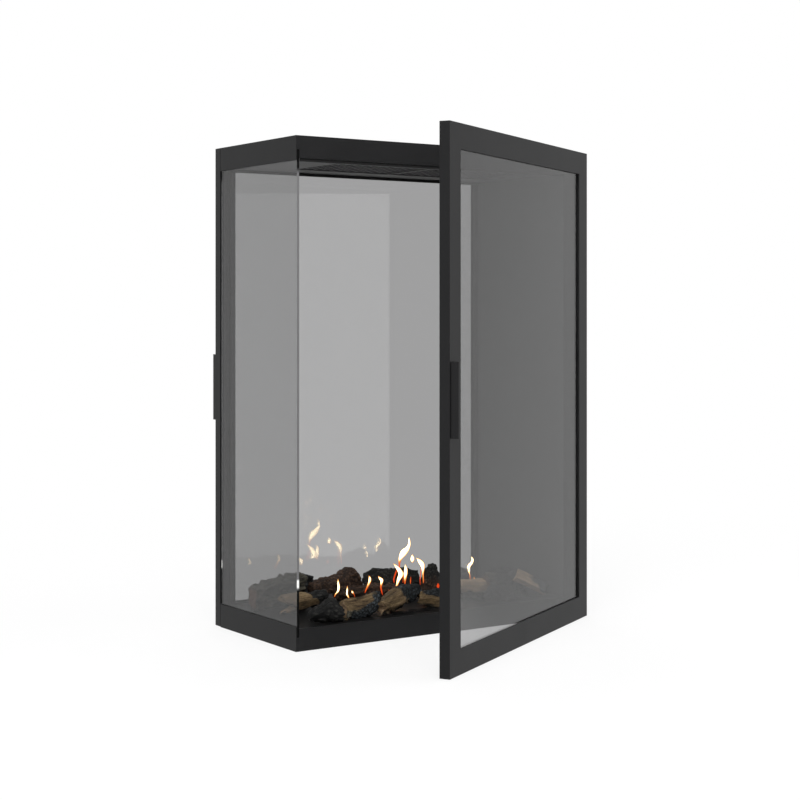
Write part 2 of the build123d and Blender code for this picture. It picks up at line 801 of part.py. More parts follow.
def lay_log(place, run, radius, shape, roll, grow=0.0):
    """One log about its middle along its run, in flat facets, its outlines grown by a clearance."""
    across, forward, high = place
    middle = Vector(tray_left + across * bed_length, -floor_y1 + forward * bed_depth,
                    floor_top + high)
    unit = Vector(*run).normalized()
    level = Vector(0, 0, 1).cross(unit).normalized()
    length = Vector(*run).length + 2 * grow
    rings = []
    for along, share, bow in log_stations:
        spot = middle + unit * ((along - 0.5) * length) + level * (bow * radius)
        cut = Plane(origin=spot, x_dir=level, z_dir=unit)
        rings.append([cut.from_local_coords(Vector(*corner)) for corner in
                      log_outline(radius * share + grow, shape, roll)])
    # Outlines are alike at each station, so the facet between two of their sides is flat.
    facets = [Face(Wire.make_polygon(ring)) for ring in (rings[0], rings[-1])]
    for near, far in zip(rings, rings[1:]):
        for a, b, c, d in zip(near, near[1:] + near[:1], far[1:] + far[:1], far):
            facets.append(Face(Wire.make_polygon((a, b, c, d))))
    return Solid(Shell(facets)).fix()


bed_length = liner_face - tray_left
bed_depth = 2 * floor_y1
logs = [
    # Place of the middle (share of the bed from its left end, share from its front, height
    # above the floor plate), run from end to end, radius, cut shape and roll
    ("log_rear_left", (0.15, 0.755, 30.5), (152, 32, 3), 31, "round", 12),
    ("log_rear_dark", (0.59, 0.827, 23), (98, -52, 0), 26, "round", 60),
    ("log_middle_brown", (0.446, 0.7, 19), (136, -38, 0), 21, "half", 172),
    ("log_left_wedge", (0.143, 0.477, 15.5), (86, -2, 3), 23, "wedge", 8),
    ("log_front_left", (0.123, 0.097, 20), (48, -14, 0), 23, "round", 25),
    ("log_front_charred", (0.254, 0.107, 19.5), (88, 8, 1), 22, "half", -100),
    ("log_front_split", (0.402, 0.166, 19.5), (118, 52, 5), 24, "wedge", -25),
    ("log_front_right", (0.543, 0.146, 17.5), (64, -40, -1), 20, "half", -95),
    ("log_right_tan", (0.734, 0.333, 18), (66, -18, 0), 20, "half", -110),
    ("log_right_dark", (0.779, 0.117, 16), (58, -10, 0), 19, "round", 80),
    ("log_rear_right", (0.893, 0.428, 22), (92, 8, 0), 25, "round", 100),
    ("log_right_end", (0.941, 0.222, 16), (54, 14, 0), 19, "round", 5),
    ("log_rear_charred", (0.744, 0.575, 26.5), (64, -26, 15), 24, "round", 20),
    ("log_leaning_brown", (0.342, 0.798, 34), (120, 14, 24), 22, "half", 24),
    ("log_leaning_tan", (0.904, 0.123, 31.5), (42, -42, -25), 20, "wedge", 30),
    ("log_leaning_charred", (0.65, 0.543, 34), (24, 18, 64), 24, "round", 45),
]
laid = []
for name, *form in logs:
    with BuildPart() as log:
        add(lay_log(*form))
        with BuildSketch(Plane.XY.offset(floor_top)):
            Rectangle(width, depth)
        extrude(amount=-floor_top, mode=Mode.SUBTRACT)
        for other in laid:
            add(lay_log(*other, grow=log_clearance), mode=Mode.SUBTRACT)
    laid.append(form)
    save(log.part, name)
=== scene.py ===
import itertools
import math

import bpy
import numpy as np
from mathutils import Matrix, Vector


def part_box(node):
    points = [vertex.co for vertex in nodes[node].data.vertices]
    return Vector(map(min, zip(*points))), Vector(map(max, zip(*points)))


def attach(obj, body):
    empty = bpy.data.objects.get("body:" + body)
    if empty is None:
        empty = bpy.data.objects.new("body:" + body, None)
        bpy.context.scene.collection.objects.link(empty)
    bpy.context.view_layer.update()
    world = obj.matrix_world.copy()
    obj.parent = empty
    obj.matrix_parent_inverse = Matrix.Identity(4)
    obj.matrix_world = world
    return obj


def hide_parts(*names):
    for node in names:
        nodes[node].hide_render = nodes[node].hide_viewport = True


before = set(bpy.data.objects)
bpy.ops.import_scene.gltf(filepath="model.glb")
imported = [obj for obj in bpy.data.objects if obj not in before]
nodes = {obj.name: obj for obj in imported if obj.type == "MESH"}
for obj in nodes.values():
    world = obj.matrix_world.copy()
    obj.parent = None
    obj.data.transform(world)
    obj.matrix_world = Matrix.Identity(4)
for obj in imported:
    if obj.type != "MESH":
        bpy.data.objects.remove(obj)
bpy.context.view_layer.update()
mm = 0.001  # metres in a millimetre
print("frame loaded,", len(nodes), "pieces")

# Places read from the frame, in metres
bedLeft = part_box("side_sill")[1].x
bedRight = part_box("right_liner")[0].x
bedFront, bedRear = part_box("floor_plate")[0].y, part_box("floor_plate")[1].y
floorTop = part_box("floor_plate")[1].z


# An object made from its data and put in the scene.
def addObject(name, data):
    item = bpy.data.objects.new(name, data)
    bpy.context.scene.collection.objects.link(item)
    return item


# Camera: level, from the front left, looking at the open door

camera = {
    "place": (-1.99299, -2.94571, 0.65732),
    "turn": -34.0,  # degrees, from looking straight at the front
    "lens": 75.168,  # in millimetres, like the sensor
    "sensor": 36.0,
    "shiftY": -0.10976,  # how far the picture is moved, as a share of its width
    "clipEnd": 60.0,
}


# A camera held level and turned about the upright.
def placeCamera():
    data = bpy.data.cameras.new("camera")
    data.lens = camera["lens"]
    data.sensor_width = camera["sensor"]
    data.shift_y = camera["shiftY"]
    data.clip_end = camera["clipEnd"]
    eye = addObject("camera", data)
    eye.location = camera["place"]
    eye.rotation_euler = (math.radians(90), 0, math.radians(camera["turn"]))
    bpy.context.scene.camera = eye


# Node helpers


# One node: its settings by name, then its inputs by name or number, each a value or an output.
def addNode(tree, kind, inputs=None, **settings):
    node = tree.nodes.new(kind)
    for name, value in settings.items():
        setattr(node, name, value)
    for name, source in (inputs or {}).items():
        if isinstance(source, bpy.types.NodeSocket):
            tree.links.new(source, node.inputs[name])
        else:
            node.inputs[name].default_value = source
    return node


# The result of a Math node, its values taken in order.
def worked(tree, operation, *values, **settings):
    node = addNode(tree, "ShaderNodeMath", dict(enumerate(values)), operation=operation, **settings)
    return node.outputs[0]


# The result of a Vector Math node, which is a number for a length or a dot product.
def vectorWorked(tree, operation, *values):
    node = addNode(tree, "ShaderNodeVectorMath", dict(enumerate(values)), operation=operation)
    return node.outputs["Value" if operation in ("LENGTH", "DOT_PRODUCT") else "Vector"]


# Carries a value from one span to another and stops at its ends.
def remap(tree, value, given, wanted, shape="LINEAR"):
    node = addNode(tree, "ShaderNodeMapRange", {
        "Value": value, "From Min": given[0], "From Max": given[1], "To Min": wanted[0],
        "To Max": wanted[1]}, interpolation_type=shape)
    return node.outputs["Result"]


# The first number, or the second one where the factor is 1.
def choose(tree, factor, first, second):
    node = addNode(tree, "ShaderNodeMix", {0: factor, 2: first, 3: second}, data_type="FLOAT")
    return node.outputs[0]


# Two colours mixed by a factor.
def mixColour(tree, factor, first, second, blend="MIX"):
    node = addNode(tree, "ShaderNodeMix", {0: factor, 6: first, 7: second}, data_type="RGBA",
                   blend_type=blend)
    return node.outputs[2]


# A colour ramp through (place, colour) stops.
def ramp(tree, factor, stops):
    node = addNode(tree, "ShaderNodeValToRGB", {"Fac": factor})
    bar = node.color_ramp
    while len(bar.elements) < len(stops):
        bar.elements.new(0.5)
    for element, (place, colour) in zip(bar.elements, stops):
        element.position = place
        element.color = (*colour, 1)
    return node.outputs["Color"]


# A noise read at a place.
def noise(tree, place, **inputs):
    return addNode(tree, "ShaderNodeTexNoise", {"Vector": place, **inputs}).outputs["Fac"]


# What a piece keeps at its points under a name: a number, or a vector.
def readValue(tree, name, output="Fac"):
    return addNode(tree, "ShaderNodeAttribute", attribute_name=name).outputs[output]


# A material with its Principled shader, plain values set on the shader's own sockets.
def newMaterial(name, **values):
    material = bpy.data.materials.new(name)
    material.use_nodes = True
    shader = material.node_tree.nodes["Principled BSDF"]
    for socket, value in values.items():
        shader.inputs[socket.replace("_", " ")].default_value = value
    return material, material.node_tree, shader


# Joins outputs to a shader's inputs.
def feed(tree, shader, **sources):
    for socket, source in sources.items():
        tree.links.new(source, shader.inputs[socket.replace("_", " ")])


# Leans the shader's normal by the slope of a height, whose full depth is in metres.
def bump(tree, shader, height, distance, strength):
    node = addNode(tree, "ShaderNodeBump", {"Height": height, "Distance": distance,
                                            "Strength": strength})
    feed(tree, shader, Normal=node.outputs["Normal"])


# An empty node group with its inputs, each with its first value, and its outputs, all numbers.
def newGroup(name, inputs, outputs):
    group = bpy.data.node_groups.new(name, "ShaderNodeTree")
    for socket, value in inputs.items():
        kind = "NodeSocketVector" if isinstance(value, tuple) else "NodeSocketFloat"
        group.interface.new_socket(socket, in_out="INPUT", socket_type=kind).default_value = value
    for socket in outputs:
        group.interface.new_socket(socket, in_out="OUTPUT", socket_type="NodeSocketFloat")
    given = group.nodes.new("NodeGroupInput")
    out = group.nodes.new("NodeGroupOutput")
    return group, given.outputs, out.inputs


# Grain, an effect that most finishes share

grainDetail = {"fine": 3.0, "patches": 4.0}


# Fine paint or casting grain: a small noise as height, and a large soft one as patches. Size is
# in millimetres and patch size in metres.
def grainGroup():
    group, given, out = newGroup(
        "surfaceGrain", {"Size": 1.0, "Stretch X": 1.0, "Stretch Y": 1.0, "Stretch Z": 1.0,
                         "Patch Size": 0.2}, ("Height", "Patches"))
    place = addNode(group, "ShaderNodeTexCoord").outputs["Object"]
    stretch = addNode(group, "ShaderNodeCombineXYZ", {a: given["Stretch " + a] for a in "XYZ"})
    fine = noise(group, vectorWorked(group, "MULTIPLY", place, stretch.outputs[0]),
                 Scale=worked(group, "DIVIDE", 1 / mm, given["Size"]), Detail=grainDetail["fine"])
    patches = noise(group, place, Scale=worked(group, "DIVIDE", 1.0, given["Patch Size"]),
                    Detail=grainDetail["patches"])
    group.links.new(fine, out["Height"])
    group.links.new(patches, out["Patches"])
    return group


surfaceGrain = grainGroup()


# The grain group placed in a material.
def grain(tree, size, patch, stretch=(1, 1, 1)):
    node = addNode(tree, "ShaderNodeGroup", {
        "Size": size, "Stretch X": stretch[0], "Stretch Y": stretch[1],
        "Stretch Z": stretch[2], "Patch Size": patch}, node_tree=surfaceGrain)
    return node.outputs["Height"], node.outputs["Patches"]


# Finishes, one dictionary and one function for each family

paints = {
    # Colour, roughness from and to, index, grain in millimetres, grain depth in metres
    "powder_coat": ((0.0075, 0.0075, 0.008), 0.36, 0.46, 1.32, 0.5, 0.00003),
    "hearth_steel": ((0.006, 0.006, 0.006), 0.3, 0.42, 1.08, 0.8, 0.00003),
    "ceiling_steel": ((0.05, 0.05, 0.05), 0.4, 0.5, 1.4, 0.8, 0.00003),
    "grille_steel": ((0.02, 0.02, 0.021), 0.45, 0.55, 1.4, 0.8, 0.00003),
    "liner_steel": ((0.02, 0.02, 0.021), 0.4, 0.5, 1.4, 0.8, 0.00003),
    "hinge_steel": ((0.012, 0.012, 0.012), 0.3, 0.42, 1.45, 0.6, 0.00002),
    "black_screw": ((0.01, 0.01, 0.01), 0.28, 0.4, 1.5, 0.4, 0.00002),
    "seal": ((0.006, 0.006, 0.006), 0.7, 0.85, 1.4, 0.9, 0.00008),
}
paintLook = {
    "patch": 0.09,  # metres across a patch
    "paler": (1.25, 0.001),  # what a paler patch's colour is times, and plus
    "bump": 0.6,
}


# Patches run from the colour to a slightly paler one and from glossy to dull, over a fine grain.
def paintFinish(name):
    colour, low, high, index, size, depth = paints[name]
    material, tree, shader = newMaterial(name, IOR=index)
    height, patches = grain(tree, size, paintLook["patch"])
    times, plus = paintLook["paler"]
    paler = [c * times + plus for c in colour]
    feed(tree, shader, Base_Color=mixColour(tree, patches, (*colour, 1), (*paler, 1)),
         Roughness=remap(tree, patches, (0, 1), (low, high)))
    bump(tree, shader, height, depth, paintLook["bump"])
    return material


metals = {
    # Colour, heat tint, roughness from and to, brushing direction
    "burner_steel": ((0.46, 0.45, 0.43), (0.36, 0.29, 0.22), 0.24, 0.4, (0.04, 1, 1)),
    "zinc_bolt": ((0.56, 0.56, 0.54), (0.48, 0.49, 0.5), 0.26, 0.38, (1, 1, 1)),
    "magnet": ((0.6, 0.59, 0.57), (0.52, 0.51, 0.5), 0.18, 0.28, (1, 1, 1)),
}
metalLook = {"grain": 0.7, "patch": 0.06, "depth": 0.00003, "bump": 0.5}  # as in the paints


# Bare metal: patches of the heat tint, and a gloss that follows the brushed grain.
def metalFinish(name):
    colour, tint, low, high, stretch = metals[name]
    material, tree, shader = newMaterial(name, Metallic=1.0)
    height, patches = grain(tree, metalLook["grain"], metalLook["patch"], stretch)
    feed(tree, shader, Base_Color=mixColour(tree, patches, (*colour, 1), (*tint, 1)),
         Roughness=remap(tree, height, (0, 1), (low, high)))
    bump(tree, shader, height, metalLook["depth"], metalLook["bump"])
    return material


fibres = {
    # Colour of the fibres, then the painted shade of the hollows between them
    "insulation": ((0.7, 0.68, 0.63), (0.5, 0.48, 0.44)),
    "ceramic_wool": ((0.4, 0.38, 0.34), (0.17, 0.16, 0.145)),
}
fibreLook = {"roughness": 0.95, "sheen": 0.25, "grain": 1.4, "patch": 0.012, "depth": 0.0012,
             "bump": 0.7}


# Pressed or loose mineral fibre: a pale matt ground with painted shade in the hollows.
def fibreFinish(name):
    colour, hollowShade = fibres[name]
    material, tree, shader = newMaterial(name, Roughness=fibreLook["roughness"],
                                         Sheen_Weight=fibreLook["sheen"])
    height, patches = grain(tree, fibreLook["grain"], fibreLook["patch"])
    feed(tree, shader, Base_Color=mixColour(tree, height, (*hollowShade, 1), (*colour, 1)))
    bump(tree, shader, patches, fibreLook["depth"], fibreLook["bump"])
    return material


# Glass: the two door panes are the frame's own, and the side pane has ground edges

glass = {
    "tint": (0.588, 0.588, 0.59),  # light left after both faces of a pane
    "index": 1.5,
    "bevel": 0.0006,
    "groundRoughness": 0.9,
    "edge": (0.165, 0.165, 0.167),  # ground edge of the side pane
    "shadedEdge": (0.006, 0.006, 0.006),  # the edge with painted shade, where the gaskets and the bed hold it
    "paintedFlameGlint": (0.95, 0.95, 0.93),  # painted flame highlight on the edge, low down
    "edgeHeights": (0.118, 0.148, 0.926, 0.936),  # shade, bare, bare and shade again, in metres; the shade is painted
    "litHeights": (0.122, 0.137),
    "litFade": 0.001,
}


# Clear glass that takes its tint from both faces of a pane.
def glassFinish():
    return newMaterial("tinted_glass", Base_Color=(*glass["tint"], 1), IOR=glass["index"],
                       Transmission_Weight=1.0, Roughness=0.0)[0]


# The ground edge, matt and without gloss: a ramp up its height, with painted shade at the foot
# and head where it is held, and a painted flame highlight low down.
def edgeFinish():
    material, tree, shader = newMaterial("ground_edge", Roughness=glass["groundRoughness"], IOR=1.0)
    place = addNode(tree, "ShaderNodeTexCoord").outputs["Object"]
    height = addNode(tree, "ShaderNodeSeparateXYZ", {"Vector": place}).outputs["Z"]
    footShade, foot, head, headShade = glass["edgeHeights"]
    heldShade, bare, lit = glass["shadedEdge"], glass["edge"], glass["paintedFlameGlint"]
    litLow, litHigh = glass["litHeights"]
    fade = glass["litFade"]
    feed(tree, shader, Base_Color=ramp(tree, height, [
        (footShade, heldShade), (litLow - fade, heldShade), (litLow, lit), (litHigh, lit),
        (litHigh + fade, bare), (foot, bare), (head, bare), (headShade, heldShade)]))
    return material


# The side pane: a bevelled outline seen from above, raised from foot to head. Its two faces are
# clear, its edges and bevels ground.
def buildPane():
    low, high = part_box("side_glass")
    cut = glass["bevel"]
    outline = [(low.x, low.y + cut), (low.x + cut, low.y), (high.x - cut, low.y),
               (high.x, low.y + cut), (high.x, high.y - cut), (high.x - cut, high.y),
               (low.x + cut, high.y), (low.x, high.y - cut)]
    around = len(outline)
    clearSides = (3, 7)  # the long sides of the outline
    corners = [(x, y, z) for z in (low.z, high.z) for x, y in outline]
    sides = [(k, (k + 1) % around, (k + 1) % around + around, k + around) for k in range(around)]
    ends = [tuple(range(around - 1, -1, -1)), tuple(range(around, 2 * around))]
    mesh = bpy.data.meshes.new("side_pane")
    mesh.from_pydata(corners, [], sides + ends)
    mesh.materials.append(finishes["tinted_glass"])
    mesh.materials.append(edgeFinish())
    ground = [k not in clearSides for k in range(around + len(ends))]
    mesh.polygons.foreach_set("material_index", np.array(ground, np.int32))
    piece = addObject("side_pane", mesh)
    piece.visible_shadow = False
    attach(piece, "root")
    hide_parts("side_glass")


# Surfaces worked out on a grid

scatter = {"turn": (127.1, 311.7, 74.7), "seed": 17.3, "stretch": 43758.5453}


# One number from 0 to 1 for each whole-numbered cell: the fraction of a large sine.
def cellValue(cells, seed):
    wave = np.sin(cells @ np.array(scatter["turn"]) + seed * scatter["seed"]) * scatter["stretch"]
    return wave - np.floor(wave)


# Smooth noise from -1 to 1: the values at a cell's corners, blended by closeness.
def softNoise(points, seed):
    cell = np.floor(points)
    part = points - cell
    part = part * part * (3 - 2 * part)
    total = np.zeros(points.shape[:-1])
    for corner in itertools.product((0, 1), repeat=3):
        share = np.prod(np.where(np.array(corner) == 1, part, 1 - part), axis=-1)
        total += share * cellValue(cell + np.array(corner), seed)
    return total * 2 - 1


# Soft noise with finer layers added, each at twice the rate and half the height.
def layeredNoise(points, seed, layers=3):
    return sum(softNoise(points * 2 ** k, seed + k) / 2 ** k for k in range(layers))


# Distance from the nearest crack between cells: the second nearest seed point less the first.
def crackNoise(points, seed):
    cell = np.floor(points)
    beyond = 9.0  # farther than any seed point
    nearest = np.full(points.shape[:-1], beyond)
    second = np.full(points.shape[:-1], beyond)
    for step in itertools.product((-1, 0, 1), repeat=3):
        home = cell + np.array(step)
        jitter = np.stack([cellValue(home, seed + k) for k in range(3)], axis=-1)
        gap = np.linalg.norm(home + jitter - points, axis=-1)
        second = np.minimum(second, np.maximum(nearest, gap))
        nearest = np.minimum(nearest, gap)
    return second - nearest


# A layer of noise: its height times the noise at its spacing along X and across it.
def layerOf(p, layer, seed, kind=softNoise):
    height, along, across = layer
    return height * kind(p / np.array([along, across, across]), seed)


# A smooth step from 0 at low to 1 at high.
def rise(low, high, value):
    t = np.clip((value - low) / (high - low), 0, 1)
    return t * t * (3 - 2 * t)


# Rows of rings from the middle of one end out to its rim, along the length, and in again to the
# middle of the other end: each row's share of the length, and its share of the full size.
def cappedRows(rows, capRings, capStart):
    inward = np.linspace(capStart, 1, capRings, endpoint=False)
    t = np.concatenate([np.zeros(capRings), np.linspace(0, 1, rows), np.ones(capRings)])
    return t, np.concatenate([inward, np.ones(rows), inward[::-1]])


# The share of the full size near the ends: a quarter of a circle over the rim's length.
def rimShare(t, length, rim, depth):
    fromEnd = np.minimum(t, 1 - t) * length
    return 1 - (1 - np.sqrt(1 - (1 - np.clip(fromEnd / rim, 0, 1)) ** 2)) * depth


# Values at stations along a line, joined and then averaged over a short stretch.
def alongForm(t, stations, values, window=3):
    joined = np.interp(t, stations, values)
    padded = np.pad(joined, window, mode="edge")
    return sum(padded[k:k + len(t)] for k in range(2 * window + 1)) / (2 * window + 1)


# A mesh through rows of rings, closed round each ring, and at both ends by a fan of triangles
# from the middle of the last ring, the pole.
def closedSkin(name, rings):
    rows, around = rings.shape[:2]
    points = np.vstack([rings.reshape(-1, 3), rings[0].mean(axis=0), rings[-1].mean(axis=0)])
    i = np.arange(around)
    j = (i + 1) % around
    row = (np.arange(rows - 1) * around)[:, None]
    quads = np.stack([row + i, row + j, row + around + j, row + around + i], axis=-1).reshape(-1, 4)
    last = (rows - 1) * around
    poles = np.full((2, around), [[rows * around], [rows * around + 1]])
    fans = np.vstack([np.stack([poles[0], j, i], axis=-1),
                      np.stack([poles[1], last + i, last + j], axis=-1)])
    mesh = bpy.data.meshes.new(name)
    mesh.from_pydata(points, [], quads.tolist() + fans.tolist())
    mesh.validate()
    mesh.shade_smooth()
    return addObject(name, mesh)


# Keeps a number or a vector for each point of a skin's rings, and their mean for each pole.
def keepValues(piece, name, rings):
    kind, field = ("FLOAT_VECTOR", "vector") if rings.ndim > 2 else ("FLOAT", "value")
    poles = [rings[0].mean(axis=0), rings[-1].mean(axis=0)]
    values = np.concatenate([rings.reshape(-1, *rings.shape[2:]), poles])
    attribute = piece.data.attributes.new(name, kind, "POINT")
    attribute.data.foreach_set(field, values.astype(np.float32).ravel())


# Ceramic logs. Each is a tube of rings about its own line, with closed ends

logMake = {
    # In millimetres. A noise has its height, then its spacing along the log and across it
    "step": 1.15,  # between grid points
    "capRings": 14,  # rings on each end's face
    "capStart": 0.07,  # share of the rim's size where they start
    "rim": 1.6,  # rounding of the rims
    "cornerPart": 60,  # a corner of the outline is rounded over this part of the way round
    "endShare": 0.3,  # share of the length that an end's own shape reaches
    "above": 0.2,  # how far the lowest points stay above the floor
    "charEdge": (0.12, 13, 13),  # waver of the burning's edge, as a share of the run
    "barkFade": 10,  # degrees on each side of the bark's edge
    "barkEdge": (14, 14, 14),  # its waver, in degrees
    "tear": (1, 400, 13),  # times a log's own ragged, like the next
    "fineTear": (0.35, 400, 4),
    "sawnGrain": (0.9, 50, 2.6),
    "growthRings": (0.35, 3.2, 0.4),  # height, spacing, and how far off the middle, in radii
    "ragged": 4,  # this, bark and char are for logs that give none of their own
    "bark": (0, -40),
    "char": (1.4, 1.7, 0),
    "fullTone": 3.0,  # relief that counts as 1 for the colour
    "grainUnit": 10.0,  # length that counts as 1 for the streaks
}
outlines = {
    # Corner angles in degrees and their distances, as shares of the radius
    "round": [(a, 1 + 0.09 * math.sin(math.radians(3 * a + 40))) for a in range(0, 360, 40)],
    "half": [(a, 1 + 0.07 * math.sin(math.radians(4 * a))) for a in range(-10, 191, 33)]
    + [(270, 0.42)],
    "square": [(45, 1.28), (92, 0.93), (136, 1.3), (182, 0.92), (226, 1.2), (272, 0.9),
               (315, 1.2), (358, 0.92)],
    "wedge": [(a, 1.05 + 0.07 * math.sin(math.radians(5 * a))) for a in range(35, 146, 36)]
    + [(205, 0.72), (300, 0.82)],
}
plainForm = ((0, 0.84, 0), (0.3, 1, 1), (0.68, 0.97, -1), (1, 0.8, 0))

# Place is a share across the bed, a share forward and a height in millimetres, and roll turns the
# outline. Form gives, at shares of the run, the size and how far the middle is lifted. Ragged is
# how far the ends are torn, ends how much longer each one reaches, and slant how each one's cut
# leans back with depth and height. Char is how far along the burning starts and is full, and how
# much it keeps to the top, and bark the middle and half width of the bark that is left, in
# degrees. Fork is an end, how deep its split is, the way round that it faces and how wide it is.
burntThrough = dict(skin="char", slot="log_charred", char=(-1, -0.5, 0))
logs = {
    "rear_left": dict(
        place=(0.15, 0.755, 30.5), run=(152, 32, 3), radius=31, cut="square", roll=4,
        skin="bark", slot="log_bark", ash=0.5, char=(0.72, 0.8, 0), ragged=1.2, ends=(4, -3),
        slant=(0.34, 0, 0, 0),
        form=((0, 0.8, -2), (0.12, 0.82, -2), (0.28, 0.92, 0), (0.4, 0.9, 0), (0.55, 0.98, 1),
              (0.76, 1, 2), (0.83, 0.66, 12), (0.87, 0.36, 16), (0.93, 0.36, 15), (1, 0.3, 14))),
    "rear_dark": dict(
        place=(0.59, 0.827, 23), run=(98, -52, 0), radius=26, cut="round", roll=60,
        **burntThrough, ends=(7, 0),
        form=((0, 0.72, -1), (0.08, 0.85, 1), (0.14, 1.04, 2), (0.5, 1.05, 2), (0.8, 1, 1),
              (1, 0.92, 0))),
    "middle_brown": dict(
        place=(0.446, 0.7, 19), run=(136, -38, 0), radius=21, cut="half", roll=172,
        skin="brown", slot="log_brown", char=(1.3, 1.6, 0),
        form=((0, 0.9, 0), (0.4, 1, 2), (0.6, 1.05, 2), (1, 0.85, 0))),
    "left_wedge": dict(
        place=(0.143, 0.477, 15.5), run=(86, -2, 3), radius=23, cut="wedge", roll=8,
        skin="tan", slot="log_tan", ash=0.05, char=(0.7, 0.74, 0), ragged=3, ends=(3, 12),
        fork=(0, 24, 180, 0.34), bark=(300, 60),
        form=((0, 1, 1), (0.35, 1.05, 2), (0.6, 0.9, 3), (0.74, 0.72, 5), (0.84, 0.86, 6),
              (1, 0.66, 9))),
    "front_left": dict(
        place=(0.123, 0.097, 20), run=(48, -14, 0), radius=23, cut="round", roll=25,
        **burntThrough, ends=(9, 5),
        form=((0, 0.34, -9), (0.12, 0.6, -5), (0.35, 0.88, -1), (0.6, 1.1, 2), (0.85, 1.02, 1),
              (1, 0.55, -5))),
    "front_charred": dict(
        place=(0.254, 0.107, 19.5), run=(88, 8, 1), radius=22, cut="half", roll=-100,
        skin="tan", slot="log_tan", ash=1, char=(0.42, 0.5, -0.38), ragged=1.5, ends=(1, 2),
        bark=(270, 70),
        form=((0, 0.84, 2), (0.15, 0.97, 3), (0.3, 1.08, 2), (0.6, 1.05, 2), (0.82, 0.95, 6),
              (1, 0.55, 15))),
    "front_split": dict(
        place=(0.402, 0.166, 19.5), run=(118, 52, 5), radius=24, cut="wedge", roll=-25,
        skin="tan", slot="log_tan", ash=1, char=(0.56, 0.66, 0.12), ragged=5, ends=(2, 12),
        fork=(0, 9, 180, 0.3), bark=(300, 60),
        form=((0, 0.62, -3), (0.14, 0.85, -2), (0.3, 0.98, 1), (0.5, 1.12, 3), (0.7, 0.92, 7),
              (0.88, 0.88, 6), (1, 0.7, 6))),
    "front_right": dict(
        place=(0.543, 0.146, 17.5), run=(64, -40, -1), radius=20, cut="half", roll=-95,
        skin="tan", slot="log_tan", ash=0.7, char=(0.78, 0.9, 0.7), bark=(270, 22),
        form=((0, 0.6, 1), (0.2, 0.84, 2), (0.45, 1.06, 2), (1, 1.05, 0))),
    "right_tan": dict(
        place=(0.734, 0.333, 18), run=(66, -18, 0), radius=19, cut="square", roll=10,
        # a tan skin with painted light, as the casing shades this log
        skin="tan_painted_light", slot="log_tan", ragged=1, bark=(250, 60),
        form=((0, 0.95, 1), (0.5, 0.95, 1), (1, 1, 1))),
    "right_dark": dict(
        place=(0.779, 0.117, 16), run=(58, -10, 0), radius=19, cut="round", roll=80,
        **burntThrough),
    "rear_right": dict(
        place=(0.893, 0.428, 22), run=(92, 8, 0), radius=25, cut="round", roll=100,
        skin="bark", slot="log_charred", char=(0.1, 0.4, 0), ragged=3),
    "right_end": dict(
        place=(0.941, 0.222, 16), run=(54, 14, 0), radius=19, cut="round", roll=5,
        **burntThrough),
    "rear_charred": dict(
        place=(0.744, 0.575, 26.5), run=(64, -26, 15), radius=24, cut="round", roll=20,
        **burntThrough, ragged=7,
        form=((0, 0.7, 0), (0.2, 0.9, 0), (0.45, 0.8, 4), (0.6, 1, 0), (1, 0.85, 2))),
    "leaning_brown": dict(
        place=(0.342, 0.798, 34), run=(120, 14, 24), radius=22, cut="half", roll=24,
        skin="brown", slot="log_brown", ragged=1.2, slant=(0, 0, 0, -0.2),
        form=((0, 0.8, 0), (0.2, 1, -1), (0.34, 0.96, -3), (0.5, 1, -7), (0.66, 0.98, -8),
              (0.8, 1.14, -6), (0.93, 1.27, -6), (1, 1.3, -7))),
    "leaning_tan": dict(
        place=(0.91, 0.12, 31.5), run=(48, -46, -28), radius=21, cut="wedge", roll=30,
        # a tan skin with painted light, as the casing shades this log
        skin="tan_painted_light", slot="log_tan", ash=1, char=(0.8, 1, 0.5), ragged=3, bark=(0, 50),
        form=((0, 0.75, -2), (0.3, 0.7, -2), (0.7, 0.72, -4), (1, 0.7, -6))),
    "leaning_charred": dict(
        place=(0.65, 0.543, 34), run=(24, 18, 64), radius=24, cut="round", roll=45,
        skin="brown", slot="log_charred", char=(0.25, 0.65, 0), ragged=8, ends=(0, 6),
        fork=(1, 12, 20, 0.3),
        form=((0, 1, 0), (0.3, 0.98, 0), (0.5, 0.95, 1), (0.66, 0.86, -1), (0.76, 0.72, -3),
              (0.85, 0.56, -5), (0.92, 0.4, -6), (1, 0.1, -8))),
}


# Distance to the outline at each angle: where its ray meets the side between two corners, with
# the corners then rounded by an average over the angles close by.
def outlineReach(angle, cut):
    turns, radii = np.array(outlines[cut], float).T
    x, y = radii * np.cos(np.radians(turns)), radii * np.sin(np.radians(turns))
    place = (angle - turns[0]) % 360 + turns[0]
    k = np.searchsorted(turns, place, side="right") - 1
    n = (k + 1) % len(turns)
    sideX, sideY = x[n] - x[k], y[n] - y[k]
    c, s = np.cos(np.radians(place)), np.sin(np.radians(place))
    reach = (x[k] * y[n] - y[k] * x[n]) / (c * sideY - s * sideX)
    window = max(1, len(angle) // logMake["cornerPart"])
    return sum(np.roll(reach, k) for k in range(-window, window + 1)) / (2 * window + 1)


